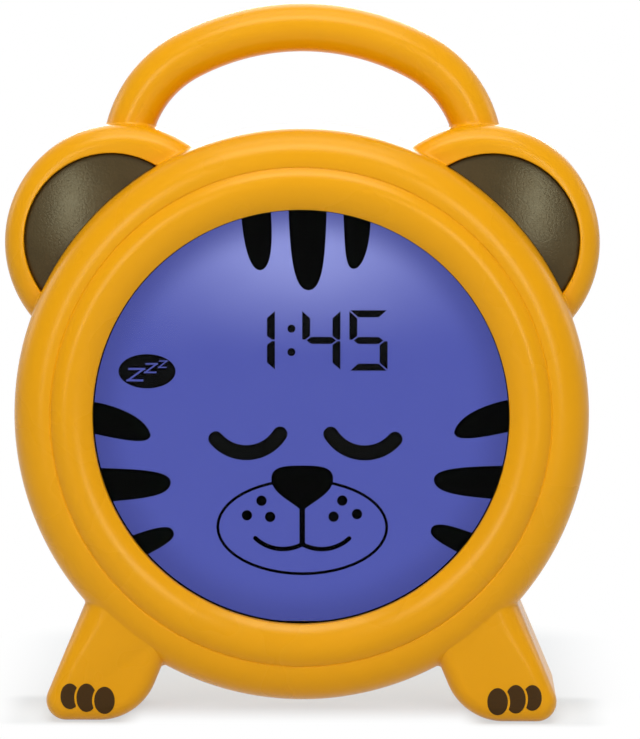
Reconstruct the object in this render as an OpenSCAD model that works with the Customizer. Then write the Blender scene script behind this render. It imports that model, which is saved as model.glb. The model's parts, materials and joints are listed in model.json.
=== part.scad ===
// Bedside alarm clock with a night light, shaped like a sleeping tiger with a carrying handle.
// X points right as seen from the front, the face looks along -Y, Z is up and the feet stand on Z = 0.

/* [Body] */
// Outer radius of the round body
body_r = 76.2; // [74:0.1:78]
// Height of the round body above the table
body_lift = 5.8; // [3.8:0.1:9.8]
// Depth from the bezel's crest to the flat back
case_d = 49; // [48:0.5:54]
// Depth from the bezel's crest to the parting plane
split_d = 25; // [24.5:0.5:26]
// Wall thickness of both shells
wall = 2.2; // [1.8:0.1:2.5]
// Radius that rolls the side into the front ring
side_roll = 8.6; // [8:0.1:9.2]
// Radius that rolls the side into the flat back
back_roll = 20; // [16:0.5:20]

/* [Bezel] */
// Width of the outer ring, from the body's edge to the groove
ring_w = 10.2; // [9.7:0.1:10.7]
// Width of the bezel from the groove to its crest
bezel_out_w = 4.4; // [3.9:0.1:5]
// Width of the bezel from its crest to the window
bezel_in_w = 6.6; // [5.6:0.1:8.6]
// Radius of the bezel's slope towards the window
bezel_in_roll = 10; // [9:0.5:12]
// Radius of the bezel's slope towards the groove
bezel_out_roll = 6.3; // [6:0.1:7]
// Depth of the lens seat behind the bezel's crest
lens_seat_d = 4.6; // [4.2:0.1:5]

/* [Ears] */
// Distance of each ear's centre inside the body's edge
ear_in = 10.6; // [9:0.1:12.5]
// Angle of the ears' centres above the body's level middle line
ear_angle = 43.5; // [42:0.1:45]
// Outer radius of an ear
ear_r = 31.5; // [30:0.1:32.5]
// Depth of the ear's rim behind the bezel's crest
ear_front_d = 13; // [12:0.5:14]
// How far the ear reaches behind the parting plane
ear_back_d = 11; // [10:0.5:12]
// Radius that rolls the ear's rim over at the front
ear_roll = 5.5; // [5:0.1:6]
// Radius that rolls the ear over at the back
ear_back_roll = 7; // [6:0.5:8]
// Radius of the recess that holds the ear's inlay
dish_r = 23.2; // [22.4:0.1:23.4]
// How far the recess lies outside the middle of the ear
dish_out = 2.9; // [2:0.1:3]
// How far the recess lies above the middle of the ear
dish_up = 0.9; // [0.5:0.1:1]
// Depth of that recess
dish_d = 3; // [2.6:0.1:3.2]
// Thickness of the inlay at its rim
inlay_t = 1.6; // [1.2:0.1:2]
// How far the inlay's middle bulges beyond its rim
inlay_crown = 3; // [2:0.1:3.6]

/* [Handle] */
// Height of the handle's centre line above the round body
handle_lift = 25.9; // [21.9:0.1:29.9]
// Radius of the handle's flat top bend
handle_top_r = 65.4; // [60:0.1:70]
// Half the angle of that bend
handle_top_angle = 28.15; // [26:0.05:30]
// Radius of the handle's side bends
handle_side_r = 30.7; // [29:0.1:33]
// Radius of the handle's tube
handle_tube_r = 6.4; // [5.8:0.1:7]
// Angle from the top at which the tube ends inside the body
handle_end_angle = 116; // [112:1:118]

/* [Legs and feet] */
// Distance of the foot's middle from the middle plane
foot_x = 57.1; // [55:0.1:59]
// Width of a leg across its own axis
leg_w = 25.3; // [24:0.1:27]
// Depth of a leg from front to back
leg_d = 43; // [42:0.5:44]
// Lean of the legs from upright, in degrees
leg_lean = 22.6; // [20:0.1:25]
// Radius along the leg's long edges
leg_edge_r = 6.6; // [5:0.1:7.5]
// Radius of the foot's outer corner
foot_out_r = 5.3; // [5:0.1:7]
// Radius of the foot's inner corner
foot_in_r = 16; // [13:0.5:17]
// Width of a rubber foot pad
pad_w = 12; // [10:0.5:13]
// Length of a rubber foot pad, front to back
pad_l = 28; // [22:0.5:30]
// Thickness of a rubber foot pad
pad_t = 1.6; // [1.4:0.1:1.8]
// How far the pad stands out of the foot
pad_proud = 0.4; // [0.3:0.1:0.6]
// Depth of the toe inlays
toe_t = 0.7; // [0.6:0.1:1]

/* [Display] */
// How far the lens reaches behind the bezel's lip
lens_lap = 2.6; // [2.2:0.1:3]
// Thickness of the lens at its rim
lens_rim_t = 1.8; // [1.5:0.1:2]
// How far the lens bulges to the front
lens_crown = 1.6; // [1:0.1:2]
// Thickness of the foam gasket behind the lens
gasket_t = 0.8; // [0.6:0.1:1]
// Thickness of each display glass
glass_t = 1; // [0.8:0.1:1.2]
// Thickness of the layer between the two glasses
segment_t = 0.1; // [0.1:0.05:0.2]
// Thickness of the printed face
print_t = 0.2; // [0.1:0.05:0.3]
// Thickness of the light diffuser
diffuser_t = 2; // [1.6:0.1:2.4]
// Depth of the reflector tray
tray_depth = 8; // [7:0.5:8.5]
// Thickness of the reflector tray
tray_t = 1.5; // [1.2:0.1:1.8]
// Number of lamps in the ring
led_count = 8; // [6:1:10]
// Radius of the ring of lamps
led_ring_r = 34; // [30:1:38]

/* [Digits] */
// Width of a digit
digit_w = 10.1; // [9:0.1:11]
// Height of a digit
digit_h = 16; // [14:0.1:17]
// Distance from one digit to the next
digit_pitch = 12.45; // [11.5:0.05:13]
// Width of an upright segment
segment_w = 2.1; // [1.6:0.1:2.4]
// Height of a level segment
segment_h = 1.86; // [1.5:0.02:2.1]
// Gap between segments
segment_gap = 0.26; // [0.2:0.02:0.4]

/* [Buttons] */
// Radius of a button
button_r = 5; // [4.5:0.1:5.5]
// How far a button stands out of the back
button_proud = 1; // [1:0.1:1.4]
// Travel of a button
button_travel = 0.8; // [0.6:0.1:0.8]
// Distance between the buttons
button_pitch = 16; // [15:0.5:17]
// Height of the row of buttons above the body's centre
button_rise = 6; // [5.5:0.1:6.5]
// Distance of the alarm switch and of the inlet from the middle plane
control_x = 34; // [32:0.5:35]
// Height of the alarm switch and of the inlet above the body's centre
control_rise = 22; // [21:0.5:23]
// Clearance round moving pieces
gap = 0.3; // [0.25:0.05:0.35]
// Travel of the alarm switch
switch_travel = 4; // [3:0.5:4]

/* [Boards] */
// Width of the main board
board_w = 100; // [96:1:104]
// Height of the main board
board_h = 33; // [32:0.5:34]
// Thickness of the circuit boards
board_t = 1.6; // [1.4:0.1:1.8]
// Depth of the main board's rear face in front of the flat back
board_back_d = 12.4; // [12:0.1:13]
// Distance of the lamp board's edge inside the reflector tray's edge
led_board_in = 3.4; // [2.4:0.1:7.4]

/* [Speaker] */
// Radius of the speaker
speaker_r = 15; // [14:0.5:16]
// Height of the speaker above the body's centre
speaker_rise = 31; // [30:0.5:32]
// Radius of a sound hole
sound_hole_r = 1.1; // [0.8:0.1:1.3]
// Distance between sound holes
sound_pitch = 4.4; // [4:0.1:4.8]

/* [Battery bay] */
// Number of cells
cell_count = 3; // [2:1:3]
// Radius of a cell
cell_r = 5.2; // [5:0.05:5.3]
// Length of a cell with its button
cell_l = 44.5; // [43.5:0.1:45]
// Distance from cell to cell
cell_pitch = 11.5; // [11.2:0.1:11.8]
// Distance of the bay's lower wall below the body's centre
bay_drop = 46; // [45:0.1:46.5]
// Thickness of the bay's walls
bay_wall = 1.8; // [1.4:0.1:2]
// Thickness of the battery door
door_t = 2; // [1.8:0.1:2.1]
// Radius of the door's rounded hinge edge
knuckle_r = 1.8; // [1.6:0.05:1.9]
// Radius of the door's hinge pins
hinge_pin_r = 1.2; // [1:0.05:1.3]
// Length of each hinge pin
hinge_pin_l = 2; // [1.5:0.1:2.2]
// Running clearance of the hinge pins
pin_clear = 0.07; // [0.05:0.01:0.1]

/* [Fasteners] */
// Radius of a case screw's shank
screw_r = 1.5; // [1.3:0.05:1.6]
// Radius of a case screw's head
screw_head_r = 2.8; // [2.5:0.1:3]
// Height of a case screw's head
screw_head_h = 2; // [1.6:0.1:2.2]
// Radius of the bosses that the case screws enter
boss_r = 4; // [3.8:0.1:4.4]
// Radius of a small screw's shank
small_screw_r = 1.2; // [1:0.05:1.3]
// Radius of a small screw's head
small_head_r = 2.2; // [2:0.1:2.4]
// Clearance between a screw and its hole
screw_clear = 0.05; // [0.03:0.01:0.1]
// Clearance between pieces that are laid into each other
fit_gap = 0.15; // [0.1:0.05:0.2]

/* [Hidden] */
$fn = 96;

YELLOW = "#E0A01C";
BROWN = "#54401F";
BLACK = "#101010";

// Planes that the whole clock is laid out on
y_front = -(case_d + button_proud) / 2;
y_back = y_front + case_d;
y_split = y_front + split_d;
back_in = y_back - wall;
past = 1;

// Bezel and ring: radii, and centres of the arcs that make the profile
body_z = body_r + body_lift;
groove_r = body_r - ring_w;
bezel_crest_r = groove_r - bezel_out_w;
window_r = bezel_crest_r - bezel_in_w;
lens_r = window_r + lens_lap;
bezel_in_c = [bezel_crest_r, y_front + bezel_in_roll];
bezel_out_c = [bezel_crest_r, y_front + bezel_out_roll];
groove_y = bezel_out_c[1] - sqrt(pow(bezel_out_roll, 2) - pow(groove_r - bezel_crest_r, 2));
side_c = [body_r - side_roll, groove_y + sqrt(pow(side_roll, 2) - pow(body_r - side_roll - groove_r, 2))];
// the back's roll ends before the parting plane
back_fillet = min(back_roll, y_back - y_split - 1);
back_c = [body_r - back_fillet, y_back - back_fillet];
arc_steps = 8;

// Display stack, from the front to the back
lens_seat_y = y_front + lens_seat_d;
lens_back_y = lens_seat_y + lens_rim_t;
glass_y = lens_back_y + gasket_t;
segment_y = glass_y + glass_t;
rear_glass_y = segment_y + segment_t;
diffuser_y = rear_glass_y + glass_t;
tray_y = diffuser_y + diffuser_t;
tray_floor_y = tray_y + tray_depth;
led_board_y = tray_floor_y + tray_t;
led_board_back = led_board_y + board_t;
pocket_r = lens_r + fit_gap;
pocket_rib = 1.8;
pocket_end_y = tray_y - 1.5;
stack_r = lens_r - fit_gap;
gasket_w = 2;
print_r = stack_r - gasket_w - fit_gap;
bezel_in_y = y_front + wall + 0.5;
step_slope = 1.2;
tray_wall = 1.6;
tray_screw_r = (pocket_r + pocket_rib + body_r - wall) / 2;
tray_boss_r = 3.2;
tray_ear_t = 2;
tray_screw_l = 7;
led_board_r = stack_r - led_board_in;
stake_r = 1.4;
stake_ring_r = led_board_r - 8;
led_size = [3.5, 1.9, 2.8];
led_hole_r = 2.7;

// The display's ribbon leaves the ledge at the foot of the front glass
ledge_h = 2.8;
ribbon_w = 20;
ribbon_t = 0.3;
ribbon_end_z = button_rise - 4;
ribbon_back_y = led_board_back + 4;

// Ears
ear_front_y = y_front + ear_front_d;
ear_back_y = y_split + ear_back_d;
dish_y = ear_front_y + dish_d;
ear_reach = body_r - ear_in;
ear_x = ear_reach * cos(ear_angle);
ear_z = body_z + ear_reach * sin(ear_angle);
dish_x = ear_x + dish_out;
dish_z = ear_z + dish_up;

// Handle: the top bend and the two side bends share their ends
handle_top_c = [0, body_z + body_r + handle_lift - handle_top_r];
handle_side_c = handle_top_c
    + (handle_top_r - handle_side_r) * [sin(handle_top_angle), cos(handle_top_angle)];
joint_proud = 0.02;
joint_gap = 0.1;

// Legs
leg_front_y = y_split - leg_d / 2;
leg_half = leg_w / 2 / cos(leg_lean);
leg_l = norm([foot_x, body_z]) - window_r + 5;

// Centre of the foot's rounded corner of radius r: the outer one on side 1, the inner one on side -1
function foot_corner(side, r, inset = 0) =
    let (z = pad_proud + inset + r)
        [foot_x + side * (leg_half - (inset + r) / cos(leg_lean)) - z * tan(leg_lean), z];

pad_x = (foot_corner(1, foot_out_r)[0] + foot_corner(-1, foot_in_r)[0]) / 2;

// Case screws: [x, height, depth of the head's seat behind the parting plane, length]
screw_inset = 10.6;
ear_screw_r = ear_reach + ear_r - screw_inset;
side_screw_x = body_r - screw_inset;
leg_screw_z = 21;
leg_screw_x = foot_x - leg_screw_z * tan(leg_lean);
SHELL_SCREWS = [
    [ear_screw_r * cos(ear_angle), body_z + ear_screw_r * sin(ear_angle), 5, 10.5],
    [side_screw_x, body_z, 8, 16],
    [leg_screw_x, leg_screw_z, 8, 16],
];
// Outside of the front wall in front of each of them: ear, ring and leg
FRONT_WALLS = [dish_y, side_c[1] - side_roll, leg_front_y];
cross_w = 0.6;

// Main board and what stands on it
board_back_y = y_back - board_back_d;
board_front_y = board_back_y - board_t;
board_z = body_z - 3.5;
BOARD_SCREWS = [[32, 3.2], [46, board_h - 3.5]];
board_boss_r = 2.9;
board_screw_l = 8;
// [x, height on the board, width, height, thickness]
CHIPS = [[-6, 14, 12, 12, 1.4], [-26, 20, 9, 5, 1.6], [-24, 9, 5, 4, 1.2], [38, 8, 6, 6, 3]];
key_case = 6;
key_case_h = 3.5;
plunger_r = 1.7;
plunger_l = 3;
plunger_clear = 0.06;
plunger_top_y = board_back_y + key_case_h + 0.9;
stem_r = 1.5;
button_back_y = y_back + button_proud;
flange_w = 1.2;
flange_t = 1.9;
flange_y = back_in - gap - flange_t;
button_z = body_z + button_rise;
BUTTON_X = [for (i = [0:5]) (i - 2.5) * button_pitch];

// Alarm switch and power inlet, left and right of the speaker
switch_x = -control_x;
switch_z = body_z + control_rise;
slider_w = 4;
slider_h = 3;
switch_case = [slider_w + switch_travel + 3, 5.2, 5.6];
lever_w = 1.8;
lever_d = 2.5;
inlet_x = control_x;
inlet_z = body_z + control_rise;
inlet_w = 8.9;
inlet_h = 3.3;
inlet_wall = 0.3;
inlet_back_y = y_back - 0.6;

// Speaker
speaker_z = body_z + speaker_rise;
speaker_rim_t = 1.5;
magnet_r = 9;
magnet_y = board_back_y + 1.8;
magnet_t = 3.6;
basket_r = 14;

// Battery bay and its door
cell_y = y_back - door_t - cell_r - 0.8;
bay_floor_y = cell_y - cell_r - 0.3;
contact_t = 0.5;
spring_l = 4;
spring_r = 3.8;
bay_x = (cell_l + spring_l + 2 * contact_t) / 2;
bay_z = body_z - bay_drop;
bay_top = bay_z + cell_count * cell_pitch + 0.5;
door_x = bay_x + 2.2;
opening_x = door_x + gap;
pivot_z = bay_top - gap - knuckle_r;
pivot_y = y_back - knuckle_r;
// the contact plates end in front of the door's hinge edge
contact_w = 2 * (pivot_y - knuckle_r - gap - cell_y);
frame_w = 3.5;
frame_t = 4.2;
door_z = bay_z - 1.5;
tab_x = 6;
tab_t = 4;
tab_z = door_z - 5.4;
door_screw_z = tab_z + 3;
door_screw_reach = 3.9;
captive_clear = 0.7;
tab_hole_clear = 0.4;
spring_wire_r = 0.35;
spring_turns = 3;

// Printed face, in millimetres from the centre of a window of radius face_r
face_r = 55;
nose_x = 0.3;
eye_mid_x = 1.1;
EYE = [-14.6, 0.75];
eye_r = 10.55;
eye_w = 4;
eye_from = 220.5;
eye_to = 328.3;
MUZZLE = [nose_x, -29.4];
muzzle_rx = 22.4;
muzzle_ry = 12.5;
muzzle_line = 0.76;
philtrum_w = 1.5;
philtrum_end = -34;
MOUTH = [-4.85, -24.7];
mouth_r = 10.6;
mouth_w = 1.2;
mouth_from = 226.6;
mouth_to = 298.6;
dot_r = 1.38;
DOTS = [[-10.5, -22.4], [-14.35, -26.3], [-8.2, -26.7], [10.9, -22.3], [14.8, -25.9], [8.6, -26.6]];
NOSE = [
    [0.3, -13], [-4.5, -13], [-8, -13.2], [-7.9, -16.7], [-7.7, -20.2], [-3.6, -22], [-0.6, -24.4],
];
TOP_STRIPES = [
    [[-15.9, 56], [-15.6, 47], [-13.8, 38.7], [-10.8, 38.8], [-7.6, 38.9], [-7.3, 47], [-8.1, 56]],
    [[-3.4, 57], [-3, 46], [-2.6, 33.5], [1.9, 33.5], [6.2, 33.5], [6.4, 44], [6.8, 57]],
    [[11, 56], [11.6, 46], [11.2, 39.1], [13.9, 39.2], [16.6, 39.2], [18.8, 47], [18.2, 56]],
];
SIDE_STRIPES = [
    [[-56, 4], [-50, 3.2], [-41, 0.2], [-39.8, -4.9], [-40, -7.6], [-45.5, -6.8], [-56, -4.4]],
    [[-56, -13.7], [-46, -14.1], [-34.6, -13.9], [-34.5, -17.4], [-34.4, -21.2], [-41, -22], [-53, -22.9]],
    [[-48, -33], [-41, -30.4], [-33.9, -27.6], [-33.7, -31.3], [-33.6, -33.3], [-38, -35.4], [-44, -38.6]],
];
RIGHT_STRIPE_SHIFT = [0.6, 0.9];
BADGE = [-40.8, 11.8];
badge_rx = 7.57;
badge_ry = 4.56;
// Sleeping letters: [left, bottom, width, height, line], leaning by a small top shift
LETTERS = [[-46.3, 9.1, 4.5, 3.6, 0.54], [-41.6, 11.3, 3.3, 2.7, 0.43], [-37.9, 12.7, 2.3, 2, 0.31]];
// Time on the display: [left edge, lit segments]
time_z = 12.1;
COLON = [[-2.6, 11.1], [-2.6, 4.9]];
colon_r = 1.06;
last_digit_x = 12.7;
TIME = [[-2.39, "bc"], [-1, "fgbc"], [0, "afgcd"]];

// Toes: [x from the middle plane, height, half width, half height], from the outside in
TOES = [[61.4, 7.4, 2.5, 3.45], [57, 7, 2.64, 3.85], [52.2, 6.3, 2.72, 3.7]];
toe_gap = 0.6;

// ---- Outlines ----

// Points of an arc round c, from angle a0 to angle a1 in n steps
function arc_points(c, r, a0, a1, n) =
    [for (i = [0:n]) let (a = a0 + (a1 - a0) * i / n) c + r * [cos(a), sin(a)]];

// Points of a cubic curve after its start
function curve(p, n = 10) =
    [for (i = [1:n]) let (t = i / n, u = 1 - t)
        u * u * u * p[0] + 3 * u * u * t * p[1] + 3 * u * t * t * p[2] + t * t * t * p[3]];

// Two cubic curves that share their middle point
function two_curves(p) =
    concat([p[0]], curve([p[0], p[1], p[2], p[3]]), curve([p[3], p[4], p[5], p[6]]));

function ellipse_points(c, rx, ry, n = 48) =
    [for (i = [0:n - 1]) c + [rx * cos(360 * i / n), ry * sin(360 * i / n)]];

function mirror_points(points, mid) =
    [for (i = [len(points) - 1:-1:0]) [2 * mid - points[i][0], points[i][1]]];

// A bent line of width w with round ends
function stroke_points(c, r, a0, a1, w) = concat(
    arc_points(c, r + w / 2, a0, a1, 20),
    arc_points(c + r * [cos(a1), sin(a1)], w / 2, a1 + 15, a1 + 165, 8),
    arc_points(c, r - w / 2, a1, a0, 20),
    arc_points(c + r * [cos(a0), sin(a0)], w / 2, a0 + 195, a0 + 345, 8));

// Rectangle with round corners, centred on c
function slab_points(c, w, h, r, n = 6) = concat(
    arc_points(c + [w / 2 - r, h / 2 - r], r, 0, 90, n),
    arc_points(c + [-w / 2 + r, h / 2 - r], r, 90, 180, n),
    arc_points(c + [-w / 2 + r, -h / 2 + r], r, 180, 270, n),
    arc_points(c + [w / 2 - r, -h / 2 + r], r, 270, 360, n));

// ---- Placing ----

// Extrudes a drawing of the face, at the size of this window
module drawn(y0, y1) {
    translate([0, 0, body_z]) flat(y0, y1) scale(window_r / face_r) children();
}

// Turns a profile of [radius, depth] about the axis that runs through [x, z] from front to back
module turned(x = 0, z = body_z) {
    translate([x, 0, z]) rotate([-90, 0, 0]) rotate_extrude() children();
}

// Extrudes an outline of [x, z] from depth y0 to depth y1
module flat(y0, y1) {
    translate([0, y1, 0]) rotate([90, 0, 0]) linear_extrude(y1 - y0) children();
}

// Extrudes an outline of [depth, z] from x0 to x1
module across(x0, x1) {
    translate([x0, 0, 0]) rotate([90, 0, 90]) linear_extrude(x1 - x0) children();
}

// Round bar from depth y0 to depth y1
module bar(x, z, r, y0, y1) {
    translate([x, y0, z]) rotate([-90, 0, 0]) cylinder(r = r, h = y1 - y0);
}

// Box given by two corners
module block(a, b) {
    translate(a) cube(b - a);
}

module both_sides() {
    children();
    mirror([1, 0, 0]) children();
}

// Head towards the back when side is 1, with a cross recess
module screw(x, z, y, length, r, head_r, head_h, side = 1) {
    difference() {
        union() {
            bar(x, z, r, min(y, y - side * length), max(y, y - side * length));
            bar(x, z, head_r, min(y, y + side * head_h), max(y, y + side * head_h));
        }
        for (turn = [0, 90])
            translate([x, y + side * head_h, z]) rotate([0, turn, 0])
                cube([head_r * 1.2, head_h, cross_w], center = true);
    }
}

// ---- Shell forms ----

// Front half of the body: a full disc behind the bezel and the ring
module body_front_profile() {
    lip_angle = 180 + acos((bezel_crest_r - window_r) / bezel_in_roll);
    groove_angle = 270 + asin((groove_r - bezel_crest_r) / bezel_out_roll);
    ring_angle = 270 + asin((groove_r - side_c[0]) / side_roll);
    polygon(concat(
        [[0, y_split], [0, lens_seat_y], [window_r, lens_seat_y]],
        arc_points(bezel_in_c, bezel_in_roll, lip_angle, 270, arc_steps),
        arc_points(bezel_out_c, bezel_out_roll, 270 + 44 / arc_steps, groove_angle, arc_steps),
        arc_points(side_c, side_roll, ring_angle + 5, 360, arc_steps),
        [[body_r, y_split]]));
}

module front_cavity_profile() {
    roll = side_roll - wall;
    step_r = side_c[0] - wall;
    polygon(concat(
        [[0, y_split + past], [0, lens_seat_y], [pocket_r, lens_seat_y], [pocket_r, pocket_end_y]],
        [[pocket_r + pocket_rib, pocket_end_y], [pocket_r + pocket_rib, bezel_in_y]],
        [[step_r - step_slope, bezel_in_y], [step_r, side_c[1] - roll]],
        arc_points(side_c, roll, 270, 360, arc_steps),
        [[body_r - wall, y_split + past]]));
}

module body_rear_profile() {
    polygon(concat(
        [[0, y_back], [0, y_split], [body_r, y_split]],
        arc_points(back_c, back_fillet, 0, 90, arc_steps)));
}

module rear_cavity_profile() {
    polygon(concat(
        [[0, back_in], [0, y_split - past], [body_r - wall, y_split - past]],
        arc_points(back_c, back_fillet - wall, 0, 90, arc_steps)));
}

// Ear halves; the front one carries the recess for the inlay
module ear_front_profile() {
    c = [ear_r - ear_roll, ear_front_y + ear_roll];
    polygon(concat(
        [[0, y_split], [0, ear_front_y]],
        arc_points(c, ear_roll, 270, 360, arc_steps),
        [[ear_r, y_split]]));
}

module ear_rear_profile() {
    c = [ear_r - ear_back_roll, ear_back_y - ear_back_roll];
    polygon(concat(
        [[0, ear_back_y], [0, y_split], [ear_r, y_split]],
        arc_points(c, ear_back_roll, 0, 90, arc_steps)));
}

module ear_cavity(front) {
    y_end = front ? dish_y + wall : ear_back_y - wall;
    y_bend = front ? ear_front_y + ear_roll : ear_back_y - ear_back_roll;
    y_start = y_split + (front ? past : -past);
    difference() {
        turned(ear_x, ear_z) polygon([
            [0, y_start], [0, y_end], [dish_r - wall, y_end], [ear_r - wall, y_bend],
            [ear_r - wall, y_start],
        ]);
        bar(0, body_z, body_r, y_front, y_back);
    }
}

// Half of the handle's tube, on one side of the parting plane
module tube_half(c, r, from, to, tube_r, front) {
    translate([c[0], y_split, c[1]]) rotate([90, 0, 0]) rotate([0, 0, from])
        rotate_extrude(angle = to - from) intersection() {
            translate([r, 0]) circle(tube_r);
            translate([r - tube_r - past, front ? 0 : -tube_r - past])
                square([2 * (tube_r + past), tube_r + past]);
        }
}

function arc_angle(length, r) = length / r * 180 / PI;

// The bends stop a little short of each other, inside a ball that is a hair wider than the tube
module handle_half(tube_r, front) {
    top = handle_top_angle - arc_angle(joint_gap, handle_top_r);
    side = handle_top_angle + arc_angle(joint_gap, handle_side_r);
    at = handle_top_c + handle_top_r * [sin(handle_top_angle), cos(handle_top_angle)];
    tube_half(handle_top_c, handle_top_r, 90 - top, 90 + top, tube_r, front);
    both_sides() {
        tube_half(handle_side_c, handle_side_r, 90 - handle_end_angle, 90 - side, tube_r, front);
        translate([at[0], y_split, at[1]]) intersection() {
            sphere(tube_r + joint_proud);
            translate([-2 * tube_r, front ? -4 * tube_r : 0, -2 * tube_r]) cube(4 * tube_r);
        }
    }
}

module handle_bore(front) {
    bore_r = handle_tube_r - wall;
    difference() {
        union() {
            handle_half(bore_r, front);
            // carries the bore a little past the parting plane
            handle_half(bore_r / 2, !front);
        }
        bar(0, body_z, body_r, y_front, y_back);
    }
}

// One half of the right leg, drawn in by inset on every side
module leg(inset, front) {
    half_w = leg_w / 2 - inset;
    depth = leg_d / 2 - inset;
    r = leg_edge_r - inset;
    side = front ? -1 : 1;
    start = inset > 0 ? -past : 0;
    section = concat(
        [[half_w, start]],
        arc_points([half_w - r, depth - r], r, 0, 90, 6),
        arc_points([-half_w + r, depth - r], r, 90, 180, 6),
        [[-half_w, start]]);
    difference() {
        translate([foot_x, y_split, 0]) rotate([0, -leg_lean, 0]) translate([0, 0, -leg_w])
            linear_extrude(leg_l + leg_w) polygon([for (p = section) [p[0], side * p[1]]]);
        flat(y_split - leg_d, y_split + leg_d) foot_cutter(inset);
    }
}

// Everything under the foot's rounded lower edge
module foot_cutter(inset) {
    r_out = foot_out_r - inset;
    r_in = foot_in_r - inset;
    // each arc runs from the slanting side down to the flat sole
    out_points = arc_points(foot_corner(1, r_out, inset), r_out, leg_lean, -90, 8);
    in_points = arc_points(foot_corner(-1, r_in, inset), r_in, 180 + leg_lean, 270, 10);
    // each arc goes on past the leg's side, so that the cut leaves the leg cleanly
    out_end = out_points[0] + 0.3 * (out_points[0] - out_points[1]);
    in_end = in_points[0] + 0.3 * (in_points[0] - in_points[1]);
    polygon(concat(
        [[foot_x + 3 * leg_w, -3 * leg_w], [foot_x + 3 * leg_w, out_end[1]], out_end],
        out_points,
        [for (i = [10:-1:0]) in_points[i]],
        [in_end, [foot_x - 3 * leg_w, in_end[1]], [foot_x - 3 * leg_w, -3 * leg_w]]));
}

module pad_recess() {
    flat(y_split - pad_l / 2 - fit_gap, y_split + pad_l / 2 + fit_gap)
        translate([pad_x - pad_w / 2 - fit_gap, -past]) square([pad_w + 2 * fit_gap, pad_t + past]);
}

function toe_points(i, grow) =
    ellipse_points([TOES[i][0], TOES[i][1]], TOES[i][2] + grow, TOES[i][3] + grow, 32);

// Each toe is cut back where the next one lies over it
module toe_outline(i, grow) {
    difference() {
        polygon(toe_points(i, grow));
        if (i < len(TOES) - 1) polygon(toe_points(i + 1, toe_gap - grow));
    }
}

module toes(y0, y1, grow) {
    for (i = [0:len(TOES) - 1]) flat(y0, y1) toe_outline(i, grow);
}

// ---- Shells ----

module front_form() {
    turned() body_front_profile();
    both_sides() {
        difference() {
            turned(ear_x, ear_z) ear_front_profile();
            bar(dish_x, dish_z, dish_r, y_front, dish_y);
        }
        leg(0, true);
    }
    handle_half(handle_tube_r, true);
}

module rear_form() {
    turned() body_rear_profile();
    both_sides() {
        turned(ear_x, ear_z) ear_rear_profile();
        leg(0, false);
    }
    handle_half(handle_tube_r, false);
}

module front_shell() color(YELLOW) {
    difference() {
        union() {
            difference() {
                front_form();
                turned() front_cavity_profile();
                bar(0, body_z, window_r, y_front - past, lens_seat_y + past);
                handle_bore(true);
                both_sides() {
                    ear_cavity(true);
                    difference() {
                        leg(wall, true);
                        turned() body_front_profile();
                    }
                    pad_recess();
                    toes(leg_front_y - past, leg_front_y + toe_t - 0.1, fit_gap / 2);
                }
            }
            both_sides() for (i = [0:len(SHELL_SCREWS) - 1])
                bar(SHELL_SCREWS[i][0], SHELL_SCREWS[i][1], boss_r, FRONT_WALLS[i] + wall / 2, y_split);
            for (a = [45:90:315])
                bar(tray_screw_r * cos(a), body_z + tray_screw_r * sin(a), tray_boss_r,
                    FRONT_WALLS[1] + wall / 2, tray_y);
        }
        both_sides() for (s = SHELL_SCREWS)
            bar(s[0], s[1], screw_r + screw_clear, y_split + s[2] - s[3] - 0.5, y_split + past);
        for (a = [45:90:315])
            bar(tray_screw_r * cos(a), body_z + tray_screw_r * sin(a), small_screw_r + screw_clear,
                tray_y + tray_ear_t - tray_screw_l - 0.3, tray_y + past);
        // way out for the display's ribbon
        block([-ribbon_w / 2 - past, segment_y - gap, body_z - pocket_r - pocket_rib - past],
            [ribbon_w / 2 + past, pocket_end_y + past, body_z - stack_r + past]);
    }
}

module sound_holes() {
    for (row = [-3:3], column = [-3:3])
        if (norm([column + row / 2, row * 0.866]) < 3.1)
            bar((column + row / 2) * sound_pitch, speaker_z + row * 0.866 * sound_pitch,
                sound_hole_r, back_in - past, y_back + past);
}

module door_opening() {
    // the plate's opening, the hinge edge's room and the tab's room
    block([-opening_x, back_in, door_z - gap], [opening_x, y_back + past, bay_top]);
    block([-opening_x, y_back - frame_t, pivot_z - knuckle_r - gap * 2], [opening_x, y_back + past, bay_top]);
    block([-tab_x - gap, y_back - tab_t - gap, tab_z - gap], [tab_x + gap, y_back + past, door_z - gap + past / 2]);
}

module bay_walls() {
    block([-bay_x - bay_wall, bay_floor_y - bay_wall, bay_z - bay_wall],
        [bay_x + bay_wall, back_in, bay_top + bay_wall]);
    block([-opening_x - frame_w, y_back - frame_t, tab_z - gap - frame_w / 2],
        [opening_x + frame_w, back_in + wall / 3, bay_top + bay_wall]);
}

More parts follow.
